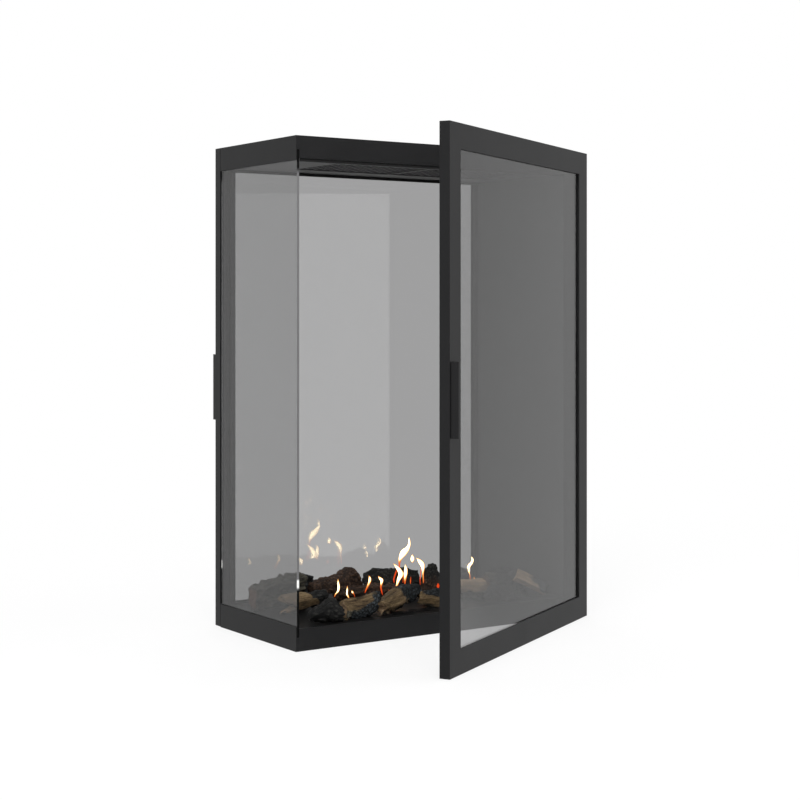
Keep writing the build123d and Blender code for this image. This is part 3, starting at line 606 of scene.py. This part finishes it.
reliefLayers = {
    # Noises as in logMake. Sunk is how much of a form lies under the surface, and toned each
    # layer's share in the colour
    "bark": {"plates": (1, 26, 9), "plateHeight": 3.8, "plateSunk": 0.6, "broad": (4.2, 9, 7),
             "crumbs": (1.6, 4.5, 3), "grit": (0.6, 1.8, 1.8), "toned": (0.5, 1, 0.25)},
    "brown": {"broad": (3.0, 11, 8), "lumps": (2.2, 4.5, 3.6), "grit": (0.9, 2, 2),
              "lumpSunk": 0.6, "toned": (0.2, 1.4, 1.4)},
    "tan": {"broad": (1.8, 34, 14), "climb": (2.5, 42, 10), "step": 0.76, "riser": (0.3, 0.7),
            "grooves": (0.5, 20, 2.2), "scratches": (0.3, 6, 1.6), "toned": (0.4, 0.5, 1.4)},
    "char": {"blocks": (2.2, 8.5, 6), "blockHeight": 2.6, "blockSunk": 0.7, "small": (2, 3.4, 3.4),
             "smallHeight": 1.2, "smallSunk": 0.6, "broad": (4.2, 13, 9), "toned": (1, 0.12)},
}


# The height of all layers together, and the part of it that sets the colour.
def toneLayers(layers, shares):
    return np.stack([sum(layers), sum(share * layer for share, layer in zip(shares, layers))])


# Long plates of bark: high where a stretched noise crosses zero, with crumbs on them.
def barkRelief(p, seed):
    bark = reliefLayers["bark"]
    plates = (1 - np.abs(layerOf(p, bark["plates"], seed))) ** 2 - bark["plateSunk"]
    crumbs = layerOf(p, bark["crumbs"], seed + 5) + layerOf(p, bark["grit"], seed + 9)
    broad = layerOf(p, bark["broad"], seed + 2)
    return toneLayers([bark["plateHeight"] * plates, crumbs, broad], bark["toned"])


# Crumbling wood: lumps of three sizes with a fine grit.
def brownRelief(p, seed):
    brown = reliefLayers["brown"]
    broad = layerOf(p, brown["broad"], seed, layeredNoise)
    lumps = np.abs(layerOf(p, brown["lumps"], seed + 5))
    grit = layerOf(p, brown["grit"], seed + 9)
    relief, toned = toneLayers([broad, lumps, grit], brown["toned"])
    return np.stack([relief, toned - brown["toned"][1] * brown["lumpSunk"]])


# Split wood: long waves, steps where splinters tore off, and narrow grooves along the grain.
def tanRelief(p, seed):
    tan = reliefLayers["tan"]
    climb = layerOf(p, tan["climb"], seed + 3)
    steps = tan["step"] * (np.floor(climb) + rise(*tan["riser"], climb - np.floor(climb)))
    grooves = layerOf(p, tan["grooves"], seed + 5) + layerOf(p, tan["scratches"], seed + 7)
    return toneLayers([layerOf(p, tan["broad"], seed), steps, grooves], tan["toned"])


# Burnt wood: blocks rounded by the root of the distance from the nearest crack, up to a flat top,
# with a finer set of them on top.
def charRelief(p, seed):
    char = reliefLayers["char"]
    blocks = np.sqrt(np.clip(layerOf(p, char["blocks"], seed, crackNoise), 0, 1))
    small = np.sqrt(np.clip(layerOf(p, char["small"], seed + 4, crackNoise), 0, 1))
    cracked = char["blockHeight"] * (blocks - char["blockSunk"])
    cracked += char["smallHeight"] * (small - char["smallSunk"])
    return toneLayers([cracked, layerOf(p, char["broad"], seed + 8)], char["toned"])


reliefs = {"bark": barkRelief, "brown": brownRelief, "tan": tanRelief, "tan_painted_light": tanRelief,
           "char": charRelief}


# A log's length, its own axes (along its run, level across it, and up from both) and its middle.
def logFrame(form):
    run = np.array(form["run"], float)
    length = np.linalg.norm(run)
    unit = run / length
    level = np.cross([0, 0, 1], unit)
    level /= np.linalg.norm(level)
    across, forward, high = form["place"]
    middle = np.array([(bedLeft + across * (bedRight - bedLeft)) / mm,
                       (bedFront + forward * (bedRear - bedFront)) / mm, floorTop / mm + high])
    return length, np.stack([unit, level, np.cross(unit, level)]), middle


# How far each point is burnt and barked, from 0 to 1: a smooth step across an edge that a noise
# makes waver. Then the relief of the whole, barked and burnt wood by those shares.
def logSurface(form, t, angle, p, seed):
    start, full, topShare = form.get("char", logMake["char"])
    waver = layerOf(p, logMake["charEdge"], seed + 40, layeredNoise)
    burnt = rise(start, full, t[:, None] + topShare * np.sin(np.radians(angle)) + waver)
    middleBark, halfBark = form.get("bark", logMake["bark"])
    offBark = np.abs((angle - middleBark + 180) % 360 - 180) - halfBark
    fade = logMake["barkFade"]
    barked = rise(fade, -fade, offBark + layerOf(p, logMake["barkEdge"], seed + 45))
    relief = reliefs[form["skin"]](p, seed) * (1 - barked) + barkRelief(p, seed + 20) * barked
    relief, toned = relief * (1 - burnt) + charRelief(p, seed + 60) * burnt
    return relief, toned, burnt, barked


# The relief of an end's face: the grain of a saw cut, and growth rings as a sine of the distance
# from their middle.
def faceRelief(p, radius, seed):
    height, spacing, off = logMake["growthRings"]
    away = np.hypot(p[..., 1], p[..., 2] + off * radius)
    rings = height * np.sin(away * 2 * math.pi / spacing)
    return layerOf(p, logMake["sawnGrain"], seed + 50) + rings


# How far points move along the log, by a share that fades from each end: the end is torn in and
# out by a noise, made longer, leaned back, and split by a fork whose cleft is a bell curve.
def endPush(form, t, length, p, y, z, seed):
    tear = layerOf(p, logMake["tear"], seed + 30, layeredNoise)
    tear += layerOf(p, logMake["fineTear"], seed + 33)
    torn = form.get("ragged", logMake["ragged"]) * tear
    firstLonger, lastLonger = form.get("ends", (0, 0))
    firstLeanY, firstLeanZ, lastLeanY, lastLeanZ = form.get("slant", (0, 0, 0, 0))
    reach = logMake["endShare"] * length
    first = rise(reach, 0, t * length)[:, None]
    last = rise(reach, 0, (1 - t) * length)[:, None]
    push = first * (firstLeanY * y + firstLeanZ * z - firstLonger - torn)
    push += last * (lastLeanY * y + lastLeanZ * z + lastLonger + torn)
    if "fork" in form:
        end, depth, facing, width = form["fork"]
        turn = math.radians(facing)
        offset = (z * math.cos(turn) - y * math.sin(turn)) / form["radius"]
        cleft = np.exp(-(offset / width) ** 2) * depth
        push += first * cleft if end == 0 else -last * cleft
    return push


# One log: rings about its line, their radius from the outline and the form, with the relief
# added, the ends pushed, the middle lifted, and all of it turned and moved to its place.
def buildLog(name, form, seed):
    length, axes, middle = logFrame(form)
    radius = form["radius"]
    t, shrink = cappedRows(int(length / logMake["step"]), logMake["capRings"], logMake["capStart"])
    around = int(2 * math.pi * radius / logMake["step"])
    angle = np.arange(around) * 360 / around
    turn = np.radians(angle)
    rolled = angle + form["roll"]
    stations, sizes, lifts = np.array(form.get("form", plainForm), float).T
    rowSize = alongForm(t, stations, sizes) * shrink
    rowSize *= rimShare(t, length, logMake["rim"], logMake["rim"] / radius)
    reach = rowSize[:, None] * outlineReach(angle, form["cut"]) * radius
    p = np.stack([np.broadcast_to((t * length)[:, None], reach.shape),
                  reach * np.cos(turn), reach * np.sin(turn)], axis=-1)

    relief, toned, burnt, barked = logSurface(form, t, rolled, p, seed)
    sideShare = shrink[:, None] ** 6  # near 1 on the sides, and soon 0 on the end faces
    out = reach + relief * sideShare
    y, z = out * np.cos(np.radians(rolled)), out * np.sin(np.radians(rolled))
    push = endPush(form, t, length, p, y, z, seed)
    outward = np.where(t < 0.5, -1, 1)[:, None]
    push += outward * faceRelief(p, radius, seed) * (1 - sideShare)
    lifted = z + alongForm(t, stations, lifts)[:, None]
    place = np.stack([p[..., 0] + push - length / 2, y, lifted], axis=-1) @ axes + middle
    place[..., 2] = np.maximum(place[..., 2], floorTop / mm + logMake["above"])
    piece = closedSkin(name + "_log", place * mm)

    kept = {"burnt": burnt, "ashen": np.full(reach.shape, form.get("ash", 0.0)),
            "barked": barked * sideShare, "cutEnd": np.broadcast_to(1 - sideShare, reach.shape),
            "relief": toned / logMake["fullTone"], "grainPoint": p / logMake["grainUnit"]}
    for field, values in kept.items():
        keepValues(piece, field, values)
    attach(piece, "root")
    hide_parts("log_" + name)
    return piece


logColours = {
    # Groove, body and crest of each skin, then its sawn or torn end. The groove colour carries
    # painted shade and the crest colour a painted highlight
    "bark": ((0.009, 0.0085, 0.006), (0.028, 0.027, 0.02), (0.08, 0.077, 0.06),
             (0.1, 0.055, 0.036)),
    "brown": ((0.005, 0.0026, 0.0018), (0.019, 0.0105, 0.0065), (0.062, 0.036, 0.0225),
              (0.06, 0.038, 0.025)),
    "tan": ((0.022, 0.014, 0.007), (0.108, 0.075, 0.038), (0.22, 0.16, 0.088),
            (0.25, 0.178, 0.11)),
    # The tan once more, paler: painted light for the two logs at the right that the casing shades
    "tan_painted_light": ((0.05, 0.034, 0.02), (0.23, 0.165, 0.1), (0.42, 0.32, 0.2),
             (0.3, 0.22, 0.14)),
    "char": ((0.002, 0.002, 0.002), (0.0065, 0.0065, 0.0057), (0.03, 0.03, 0.026),
             (0.012, 0.012, 0.01)),
}
# Groove, body and crest of char and of ash, with painted shade and highlight as above
charColours = ((0.0015, 0.0015, 0.0015), (0.0065, 0.0065, 0.006), (0.034, 0.033, 0.029))
ashColours = ((0.003, 0.004, 0.0045), (0.012, 0.0148, 0.0168), (0.062, 0.076, 0.084))
logPaint = {
    "roughness": 0.85,
    "index": 1.35,
    "tonePlaces": (0.24, 0.5, 0.82),  # where groove, body and crest stand on a ramp
    "charPlaces": (0.36, 0.56, 0.92),
    "woodLift": 0.45,  # what relief adds to the noise that such a ramp reads: painted shade and highlight
    "barkLift": 0.5,
    "charLift": 0.6,
    "streakTurns": (0.5, 4.2, 4.2),  # streaks for each unit along the grain and across it
    "streak": {"Scale": 1.0, "Detail": 5.0, "Roughness": 0.65},
    "speck": {"Scale": 6.0, "Detail": 4.0},
    "dust": ((0.3, (0.6, 0.58, 0.56)), (0.7, (1.2, 1.15, 1.1))),
    "depth": 0.0009,  # of the streaks, in metres
    "bump": 0.6,
}


# A ramp from groove to crest, read at a noise plus the relief times a share: the noise gives
# real streaks and specks, and the relief paints shade into grooves and a highlight onto crests.
def liftedTone(tree, base, relief, share, places, colours):
    return ramp(tree, worked(tree, "MULTIPLY_ADD", relief, share, base), list(zip(places, colours)))


# Painted ceramic: streaks along the grain, with painted shade in the grooves and a painted
# highlight on the crests by relief, then bark, cut ends, dust and char laid over them.
def logFinish(skin):
    *tones, ended = logColours[skin]
    material, tree, shader = newMaterial("log_" + skin, Roughness=logPaint["roughness"],
                                         IOR=logPaint["index"])
    place = readValue(tree, "grainPoint", "Vector")
    along = addNode(tree, "ShaderNodeMapping", {"Vector": place, "Scale": logPaint["streakTurns"]})
    streak = noise(tree, along.outputs[0], **logPaint["streak"])
    speck = noise(tree, place, **logPaint["speck"])
    relief = readValue(tree, "relief")
    places = logPaint["tonePlaces"]
    tone = liftedTone(tree, streak, relief, logPaint["woodLift"], places, tones)
    barkTone = liftedTone(tree, speck, relief, logPaint["barkLift"], places, logColours["bark"][:3])
    tone = mixColour(tree, readValue(tree, "barked"), tone, barkTone)
    tone = mixColour(tree, readValue(tree, "cutEnd"), tone, (*ended, 1))
    tone = mixColour(tree, 1.0, tone, ramp(tree, speck, logPaint["dust"]), "MULTIPLY")
    charTone, ashTone = [
        liftedTone(tree, speck, relief, logPaint["charLift"], logPaint["charPlaces"], colours)
        for colours in (charColours, ashColours)]
    charTone = mixColour(tree, readValue(tree, "ashen"), charTone, ashTone)
    tone = mixColour(tree, readValue(tree, "burnt"), tone, charTone)
    feed(tree, shader, Base_Color=tone)
    bump(tree, shader, streak, logPaint["depth"], logPaint["bump"])
    return material


# Ceramic wool in the burner: a loose mat inside its tray

wool = {
    "step": 2.2,  # millimetres between grid points
    "inset": 0.4,  # how far inside the tray it stays
    "capRings": 8,
    "capStart": 0.12,
    "rim": 3.0,  # rounding of its ends, in millimetres
    "rimDepth": 0.2,  # what that takes off, as a share of the size
    "squareness": 0.28,  # power of sine and cosine: 1 for an ellipse, 0 for a rectangle
    "drawn": (1.2, 3),  # how far tufts draw the faces in, on the average and at most
    "tufts": (0.8, 7, 7),
    "strands": (0.4, 9, 1.6),
}


# A mat as rings along X: each ring runs round a rounded rectangle, drawn in by soft tufts.
def buildWool():
    low, high = [np.array(corner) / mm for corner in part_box("ceramic_wool")]
    size = high - low - 2 * wool["inset"]
    rows = int(size[0] / wool["step"])
    around = int(2 * (size[1] + size[2]) / wool["step"])
    t, shrink = cappedRows(rows, wool["capRings"], wool["capStart"])
    turn = np.arange(around) * 2 * math.pi / around
    power = wool["squareness"]
    y = np.sign(np.cos(turn)) * np.abs(np.cos(turn)) ** power * size[1] / 2
    z = np.sign(np.sin(turn)) * np.abs(np.sin(turn)) ** power * size[2] / 2
    rowSize = (shrink * rimShare(t, size[0], wool["rim"], wool["rimDepth"]))[:, None]
    p = np.stack([np.broadcast_to(((t - 0.5) * size[0])[:, None], (len(t), around)),
                  rowSize * y, rowSize * z], axis=-1)
    drawn, deepest = wool["drawn"]
    tufts = drawn + layerOf(p, wool["tufts"], 3, layeredNoise)
    tufts += layerOf(p, wool["strands"], 8, layeredNoise)
    p[..., 2] -= np.sign(p[..., 2]) * np.clip(tufts, 0, deepest) * shrink[:, None]
    piece = closedSkin("ceramic_wool_mat", (p + (low + high) / 2) * mm)
    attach(piece, "root")
    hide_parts("ceramic_wool")
    return piece


# Flames over the burner. Each is a tongue of rings that rise along a wavering line.

flame = {
    "rows": 60,
    "around": 24,
    "slim": 0.66,  # share of the widths given below
    "taper": 10,  # how soon after its ends a tongue has its full width
    "foot": 0.02,  # how far into its taper the foot starts
    "tip": 0.01,  # square of the share of its width that the tip keeps
    "cooling": -1.15,  # what the heat loses where the surface turns away from the eye
    "colours": ((0.0, (0.9, 0.07, 0.012)), (0.25, (1.0, 0.22, 0.03)), (0.5, (1.0, 0.5, 0.13)),
                (0.8, (1.0, 0.8, 0.45))),
    "heat": (0.3, 1.0),  # heats between which the strength rises
    "strength": (0.9, 5.5),
    "mirrored": 2.2,  # how much stronger a pane's mirror image is shown
    "turned": (0.4, 0.95),  # how far it is turned away where it starts to clear and is clear
    "solid": 0.9,
}
flames = [
    # How far back it stands, then points from foot to tip as (x, height, width, heat), in
    # millimetres; heat is 1 for white and 0 for dull red
    (-17, ((-181, 70, 2, 0.25), (-178, 76, 4, 0.6), (-171, 82, 6, 0.9), (-170, 90, 8.5, 1),
           (-171, 98, 6, 0.9), (-172, 108, 0.8, 0.5))),
    (-12, ((-139, 59, 1.2, 0.1), (-143, 66, 3.5, 0.7), (-147, 73, 6, 0.9), (-146, 81, 5, 0.9),
           (-146, 91, 0.8, 0.4))),
    (-10, ((-126, 63, 1, 0), (-128, 70, 2, 0.3), (-132, 75, 6, 0.9), (-134, 79, 1.5, 0.5))),
    (-18, ((-107, 71, 1.5, 0), (-103, 80, 5, 0.3), (-98, 88, 7.5, 0.6), (-94, 96, 10, 0.8),
           (-94, 102, 8, 0.9), (-97, 108, 1.5, 0.4))),
    (3, ((-48, 58, 1.2, 0), (-51, 68, 4.5, 0.1), (-53, 76, 5.5, 0.2), (-51, 85, 8, 0.8),
         (-50, 91, 11, 1), (-55, 95, 8, 0.9), (-60, 101, 1.2, 0.5))),
    (-9, ((-31, 64, 2, 0), (-24, 72, 6, 0.4), (-19, 81, 7.5, 0.7), (-16, 91, 12, 0.95),
          (-9, 101, 19, 1), (-14, 111, 14, 1), (-22, 119, 8, 0.95), (-30, 127, 1, 0.5))),
    (-12, ((-2, 76, 2, 0), (-1, 88, 6, 0.5), (0, 102, 14, 1), (1, 112, 11, 1), (-1, 123, 1, 0.6))),
    (-14, ((-8, 83, 1.5, 0), (-7, 93, 3, 0.3), (-8, 106, 4, 0.6))),
    (-9, ((-27, 84, 2, 0), (-28, 93, 5, 0), (-23, 106, 5, 0.1), (-18, 115, 2, 0.3))),
    (-16, ((-18, 116, 4, 0), (-19, 128, 7, 0.4), (-15, 139, 15, 1), (-8, 148, 25, 1),
           (1, 154, 17, 1), (7, 163, 9, 1), (7, 172, 7, 0.95), (6, 181, 0.8, 0.6))),
    (0, ((26, 122, 4, 0.7), (26, 128, 14, 1), (26, 133, 12, 1), (26, 140, 1, 0.6))),
    (0, ((21, 75, 1, 0.2), (21, 83, 4, 0.3), (22, 93, 0.8, 0.1))),
    (2, ((56, 67, 1.5, 0), (56, 80, 4, 0.4), (55, 96, 5, 0.6), (55, 107, 11, 0.95),
         (53, 116, 17, 1), (46, 123, 13, 1), (37, 132, 1.2, 0.6))),
    (2, ((48, 70, 1, 0), (47, 84, 3, 0), (49, 101, 3, 0.1), (51, 113, 3, 0.3))),
    (-5, ((-37, 59, 2, 0), (-36, 64, 5, 0.5), (-38, 71, 0.8, 0.3))),
    (-12, ((167, 70, 1.5, 0.2), (166, 84, 2.5, 0.5), (163, 95, 5, 0.9), (163, 105, 12, 1),
           (171, 111, 9, 1), (174, 118, 7, 1), (169, 126, 1.2, 0.7))),
    (0, ((126, 74, 1.5, 0.2), (131, 84, 4, 0.8), (128, 94, 6, 1), (122, 103, 8, 1),
         (124, 111, 5, 1), (120, 119, 1, 0.6))),
    (6, ((100, 76, 1, 0.2), (101, 83, 5, 0.8), (99, 90, 1, 0.6))),
    (10, ((150, 73, 1, 0.2), (151, 79, 5, 0.8), (149, 86, 1, 0.6))),
    (-20, ((79, 64, 4, 0), (79, 70, 11, 0.1), (79, 76, 2, 0))),
    (-4, ((184, 66, 1, 0.1), (184, 72, 4, 0.7), (183, 79, 0.8, 0.4))),
]


# A tongue: rings at points of a smooth line, wide as given, half as deep as wide.
def buildFlame(index, depth, points):
    rows, around = flame["rows"], flame["around"]
    t = np.linspace(0, 1, rows)
    knots = np.linspace(0, 1, len(points))
    x, z, width, heat = [alongForm(t, knots, column) for column in np.array(points, float).T]
    taper = np.clip(flame["taper"] * np.minimum(t + flame["foot"], 1 - t), flame["tip"], 1)
    width = flame["slim"] * width * np.sqrt(taper)
    slant = np.stack([np.gradient(x), np.gradient(z)], axis=-1)
    slant /= np.linalg.norm(slant, axis=-1)[:, None]
    turn = np.arange(around) * 2 * math.pi / around
    side = np.cos(turn)[None, :] * width[:, None] / 2
    front = np.sin(turn)[None, :] * width[:, None] / 4
    place = np.stack([x[:, None] + side * slant[:, 1:2], depth + front,
                      z[:, None] - side * slant[:, 0:1]], axis=-1)
    piece = closedSkin(f"flame_{index}", place * mm)
    keepValues(piece, "flameHeat", np.broadcast_to(heat[:, None], (rows, around)))
    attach(piece, "root")
    return piece


# Dull red to white by heat, cooler and clearer where the tongue turns away from the eye. A mirror
# ray sees it stronger than the camera does.
def flameFinish():
    material, tree, shader = newMaterial("flame", Base_Color=(0, 0, 0, 1), Roughness=1.0, IOR=1.0)
    facing = addNode(tree, "ShaderNodeLayerWeight", {"Blend": 0.5}).outputs["Facing"]
    heat = worked(tree, "MULTIPLY_ADD", facing, flame["cooling"], readValue(tree, "flameHeat"))
    strength = remap(tree, heat, flame["heat"], flame["strength"], "SMOOTHERSTEP")
    mirrored = addNode(tree, "ShaderNodeLightPath").outputs["Is Glossy Ray"]
    stronger = remap(tree, mirrored, (0, 1), (1.0, flame["mirrored"]))
    feed(tree, shader, Emission_Color=ramp(tree, heat, flame["colours"]),
         Emission_Strength=worked(tree, "MULTIPLY", strength, stronger),
         Alpha=remap(tree, facing, flame["turned"], (flame["solid"], 0.0)))
    return material


# Studio: a pale floor, a white surround, a wide bright panel to the front right, and soft lamps

studio = {
    "surround": 0.55,  # light that the surround gives to matt surfaces
    "shown": 0.64,  # how bright the surround shows in gloss and through glass
    "white": 1.0,  # how bright the camera itself sees the surround and the far floor
    "panel": 1.15,  # what the bright panel adds to what gloss and glass show
    "panelWay": (0.559, -0.829, 0.0),
    "panelEdge": (0.9, 0.97),  # nearness to that way where the panel starts and is full
    "panelFloor": (-0.36, -0.55),  # how far forward the floor starts to catch it, in metres
    "floorColour": (0.82, 0.82, 0.82),
    "floorShade": 0.2,  # how much of the floor's own light and shadow the camera sees
    "shadeReach": (0.6, 2.4),  # distances where that share starts to fade and is gone
    "floorReach": 14.0,  # from its middle to each edge
    "floorDrop": 0.0004,  # how far it lies under the object
    "aim": (0, 0, 0.5),  # what the lamps point at
}
lamps = {
    # Place, size in metres, strength in watts
    "key": ((-2.5, -3.0, 4.0), 4.0, 200),
    "fill": ((2.9, -2.2, 4.2), 4.0, 80),
    "back": ((0.6, 3.0, 4.4), 4.0, 80),
}


# Brightness of the studio along a way out from the object: the surround, and a share of the panel
# where the level way comes near the panel's own.
def studioGroup():
    group, given, out = newGroup("studioLight", {"Way": (0.0, 0.0, 0.0), "Panel": 0.0},
                                 ("Strength",))
    level = vectorWorked(group, "MULTIPLY", given["Way"], (1, 1, 0))
    unit = vectorWorked(group, "NORMALIZE", level)
    near = vectorWorked(group, "DOT_PRODUCT", unit, studio["panelWay"])
    panel = remap(group, near, studio["panelEdge"], (0.0, studio["panel"]), "SMOOTHSTEP")
    glow = worked(group, "MULTIPLY_ADD", panel, given["Panel"], studio["shown"])
    group.links.new(glow, out["Strength"])
    return group


studioLight = studioGroup()


# The studio group placed in the floor's or the world's nodes.
def studioStrength(tree, way, panel):
    node = addNode(tree, "ShaderNodeGroup", {"Way": way, "Panel": panel}, node_tree=studioLight)
    return node.outputs["Strength"]


# 1 for a camera ray, 1 for one that glass or gloss sends on, and 1 for one that a pane mirrored
# and another pane let through.
def rayKinds(tree):
    path = addNode(tree, "ShaderNodeLightPath").outputs
    sentOn = worked(tree, "MAXIMUM", path["Is Glossy Ray"], path["Is Transmission Ray"])
    mirrored = worked(tree, "MULTIPLY", path["Glossy Depth"], path["Is Transmission Ray"],
                      use_clamp=True)
    return path["Is Camera Ray"], sentOn, mirrored


# The surround: white to the camera, the studio to rays sent on, and a plain light to all others.
def buildSurround():
    world = bpy.data.worlds.new("studio")
    bpy.context.scene.world = world
    world.use_nodes = True
    tree = world.node_tree
    light = tree.nodes["Background"]
    light.inputs["Color"].default_value = (1, 1, 1, 1)
    seen, sentOn, mirrored = rayKinds(tree)
    way = addNode(tree, "ShaderNodeTexCoord").outputs["Generated"]
    strength = choose(tree, sentOn, studio["surround"], studioStrength(tree, way, mirrored))
    feed(tree, light, Strength=choose(tree, seen, strength, studio["white"]))


# The floor: a matt surface to all rays but two kinds. Rays sent on see the studio, and the camera
# sees white with a share of the matt surface mixed in, which fades with the distance.
def buildFloor():
    reach = studio["floorReach"]
    mesh = bpy.data.meshes.new("studio_floor")
    mesh.from_pydata([(-reach, -reach, 0), (reach, -reach, 0), (reach, reach, 0),
                      (-reach, reach, 0)], [], [(0, 1, 2, 3)])
    floor = addObject("studio_floor", mesh)
    floor.location.z = -studio["floorDrop"]
    material = bpy.data.materials.new("studio_floor")
    material.use_nodes = True
    tree = material.node_tree
    tree.nodes.clear()
    place = addNode(tree, "ShaderNodeTexCoord").outputs["Object"]
    forward = addNode(tree, "ShaderNodeSeparateXYZ", {"Vector": place}).outputs["Y"]
    seen, sentOn, mirrored = rayKinds(tree)
    panel = remap(tree, forward, studio["panelFloor"], (0.0, mirrored))
    shown = choose(tree, seen, studioStrength(tree, place, panel), studio["white"])
    away = vectorWorked(tree, "LENGTH", place)
    whiteShare = remap(tree, away, studio["shadeReach"], (1 - studio["floorShade"], 1.0),
                       "SMOOTHSTEP")
    matt = addNode(tree, "ShaderNodeBsdfDiffuse", {"Color": (*studio["floorColour"], 1)})
    glow = addNode(tree, "ShaderNodeEmission", {"Strength": shown})
    blend = addNode(tree, "ShaderNodeMixShader", {
        0: choose(tree, seen, sentOn, whiteShare), 1: matt.outputs[0], 2: glow.outputs[0]})
    addNode(tree, "ShaderNodeOutputMaterial", {"Surface": blend.outputs[0]})
    mesh.materials.append(material)


# Round soft lamps, each turned so that it points at the object's middle.
def placeLamps():
    for name, (place, size, watts) in lamps.items():
        data = bpy.data.lights.new(name, "AREA")
        data.shape = "DISK"
        data.size = size
        data.energy = watts
        lamp = addObject(name, data)
        lamp.location = place
        x, y, z = np.array(studio["aim"]) - np.array(place)
        lamp.rotation_euler = (math.atan2(math.hypot(x, y), -z), 0, math.atan2(y, x) - math.pi / 2)


# Everything in order

placeCamera()
buildSurround()
buildFloor()
placeLamps()
bpy.context.scene.view_settings.view_transform = "Standard"
print("camera and studio placed")

families = ((paints, paintFinish), (metals, metalFinish), (fibres, fibreFinish))
finishes = {name: finish(name) for family, finish in families for name in family}
finishes["tinted_glass"] = glassFinish()
logSkins = {skin: logFinish(skin) for skin in logColours}
slotSkin = {"log_bark": "bark", "log_charred": "char", "log_brown": "brown", "log_tan": "tan"}
for node in nodes.values():
    slot = node.data.materials[0].name.split(".")[0]
    finish = logSkins[slotSkin[slot]] if slot in slotSkin else finishes[slot]
    for place in node.material_slots:
        place.material = finish
for name in ("front_door_glass", "rear_door_glass"):
    nodes[name].visible_shadow = False  # clear panes let the lamps' light through
print("finishes made:", len(finishes) + len(logSkins))

for number, (name, form) in enumerate(logs.items()):
    buildLog(name, form, 7 * number + 1).data.materials.append(logSkins[form["skin"]])
print("logs laid:", len(logs))

buildPane()
buildWool().data.materials.append(finishes["ceramic_wool"])
flameGlow = flameFinish()
for number, (depth, points) in enumerate(flames):
    buildFlame(number + 1, depth, points).data.materials.append(flameGlow)
print("burner filled and lit")
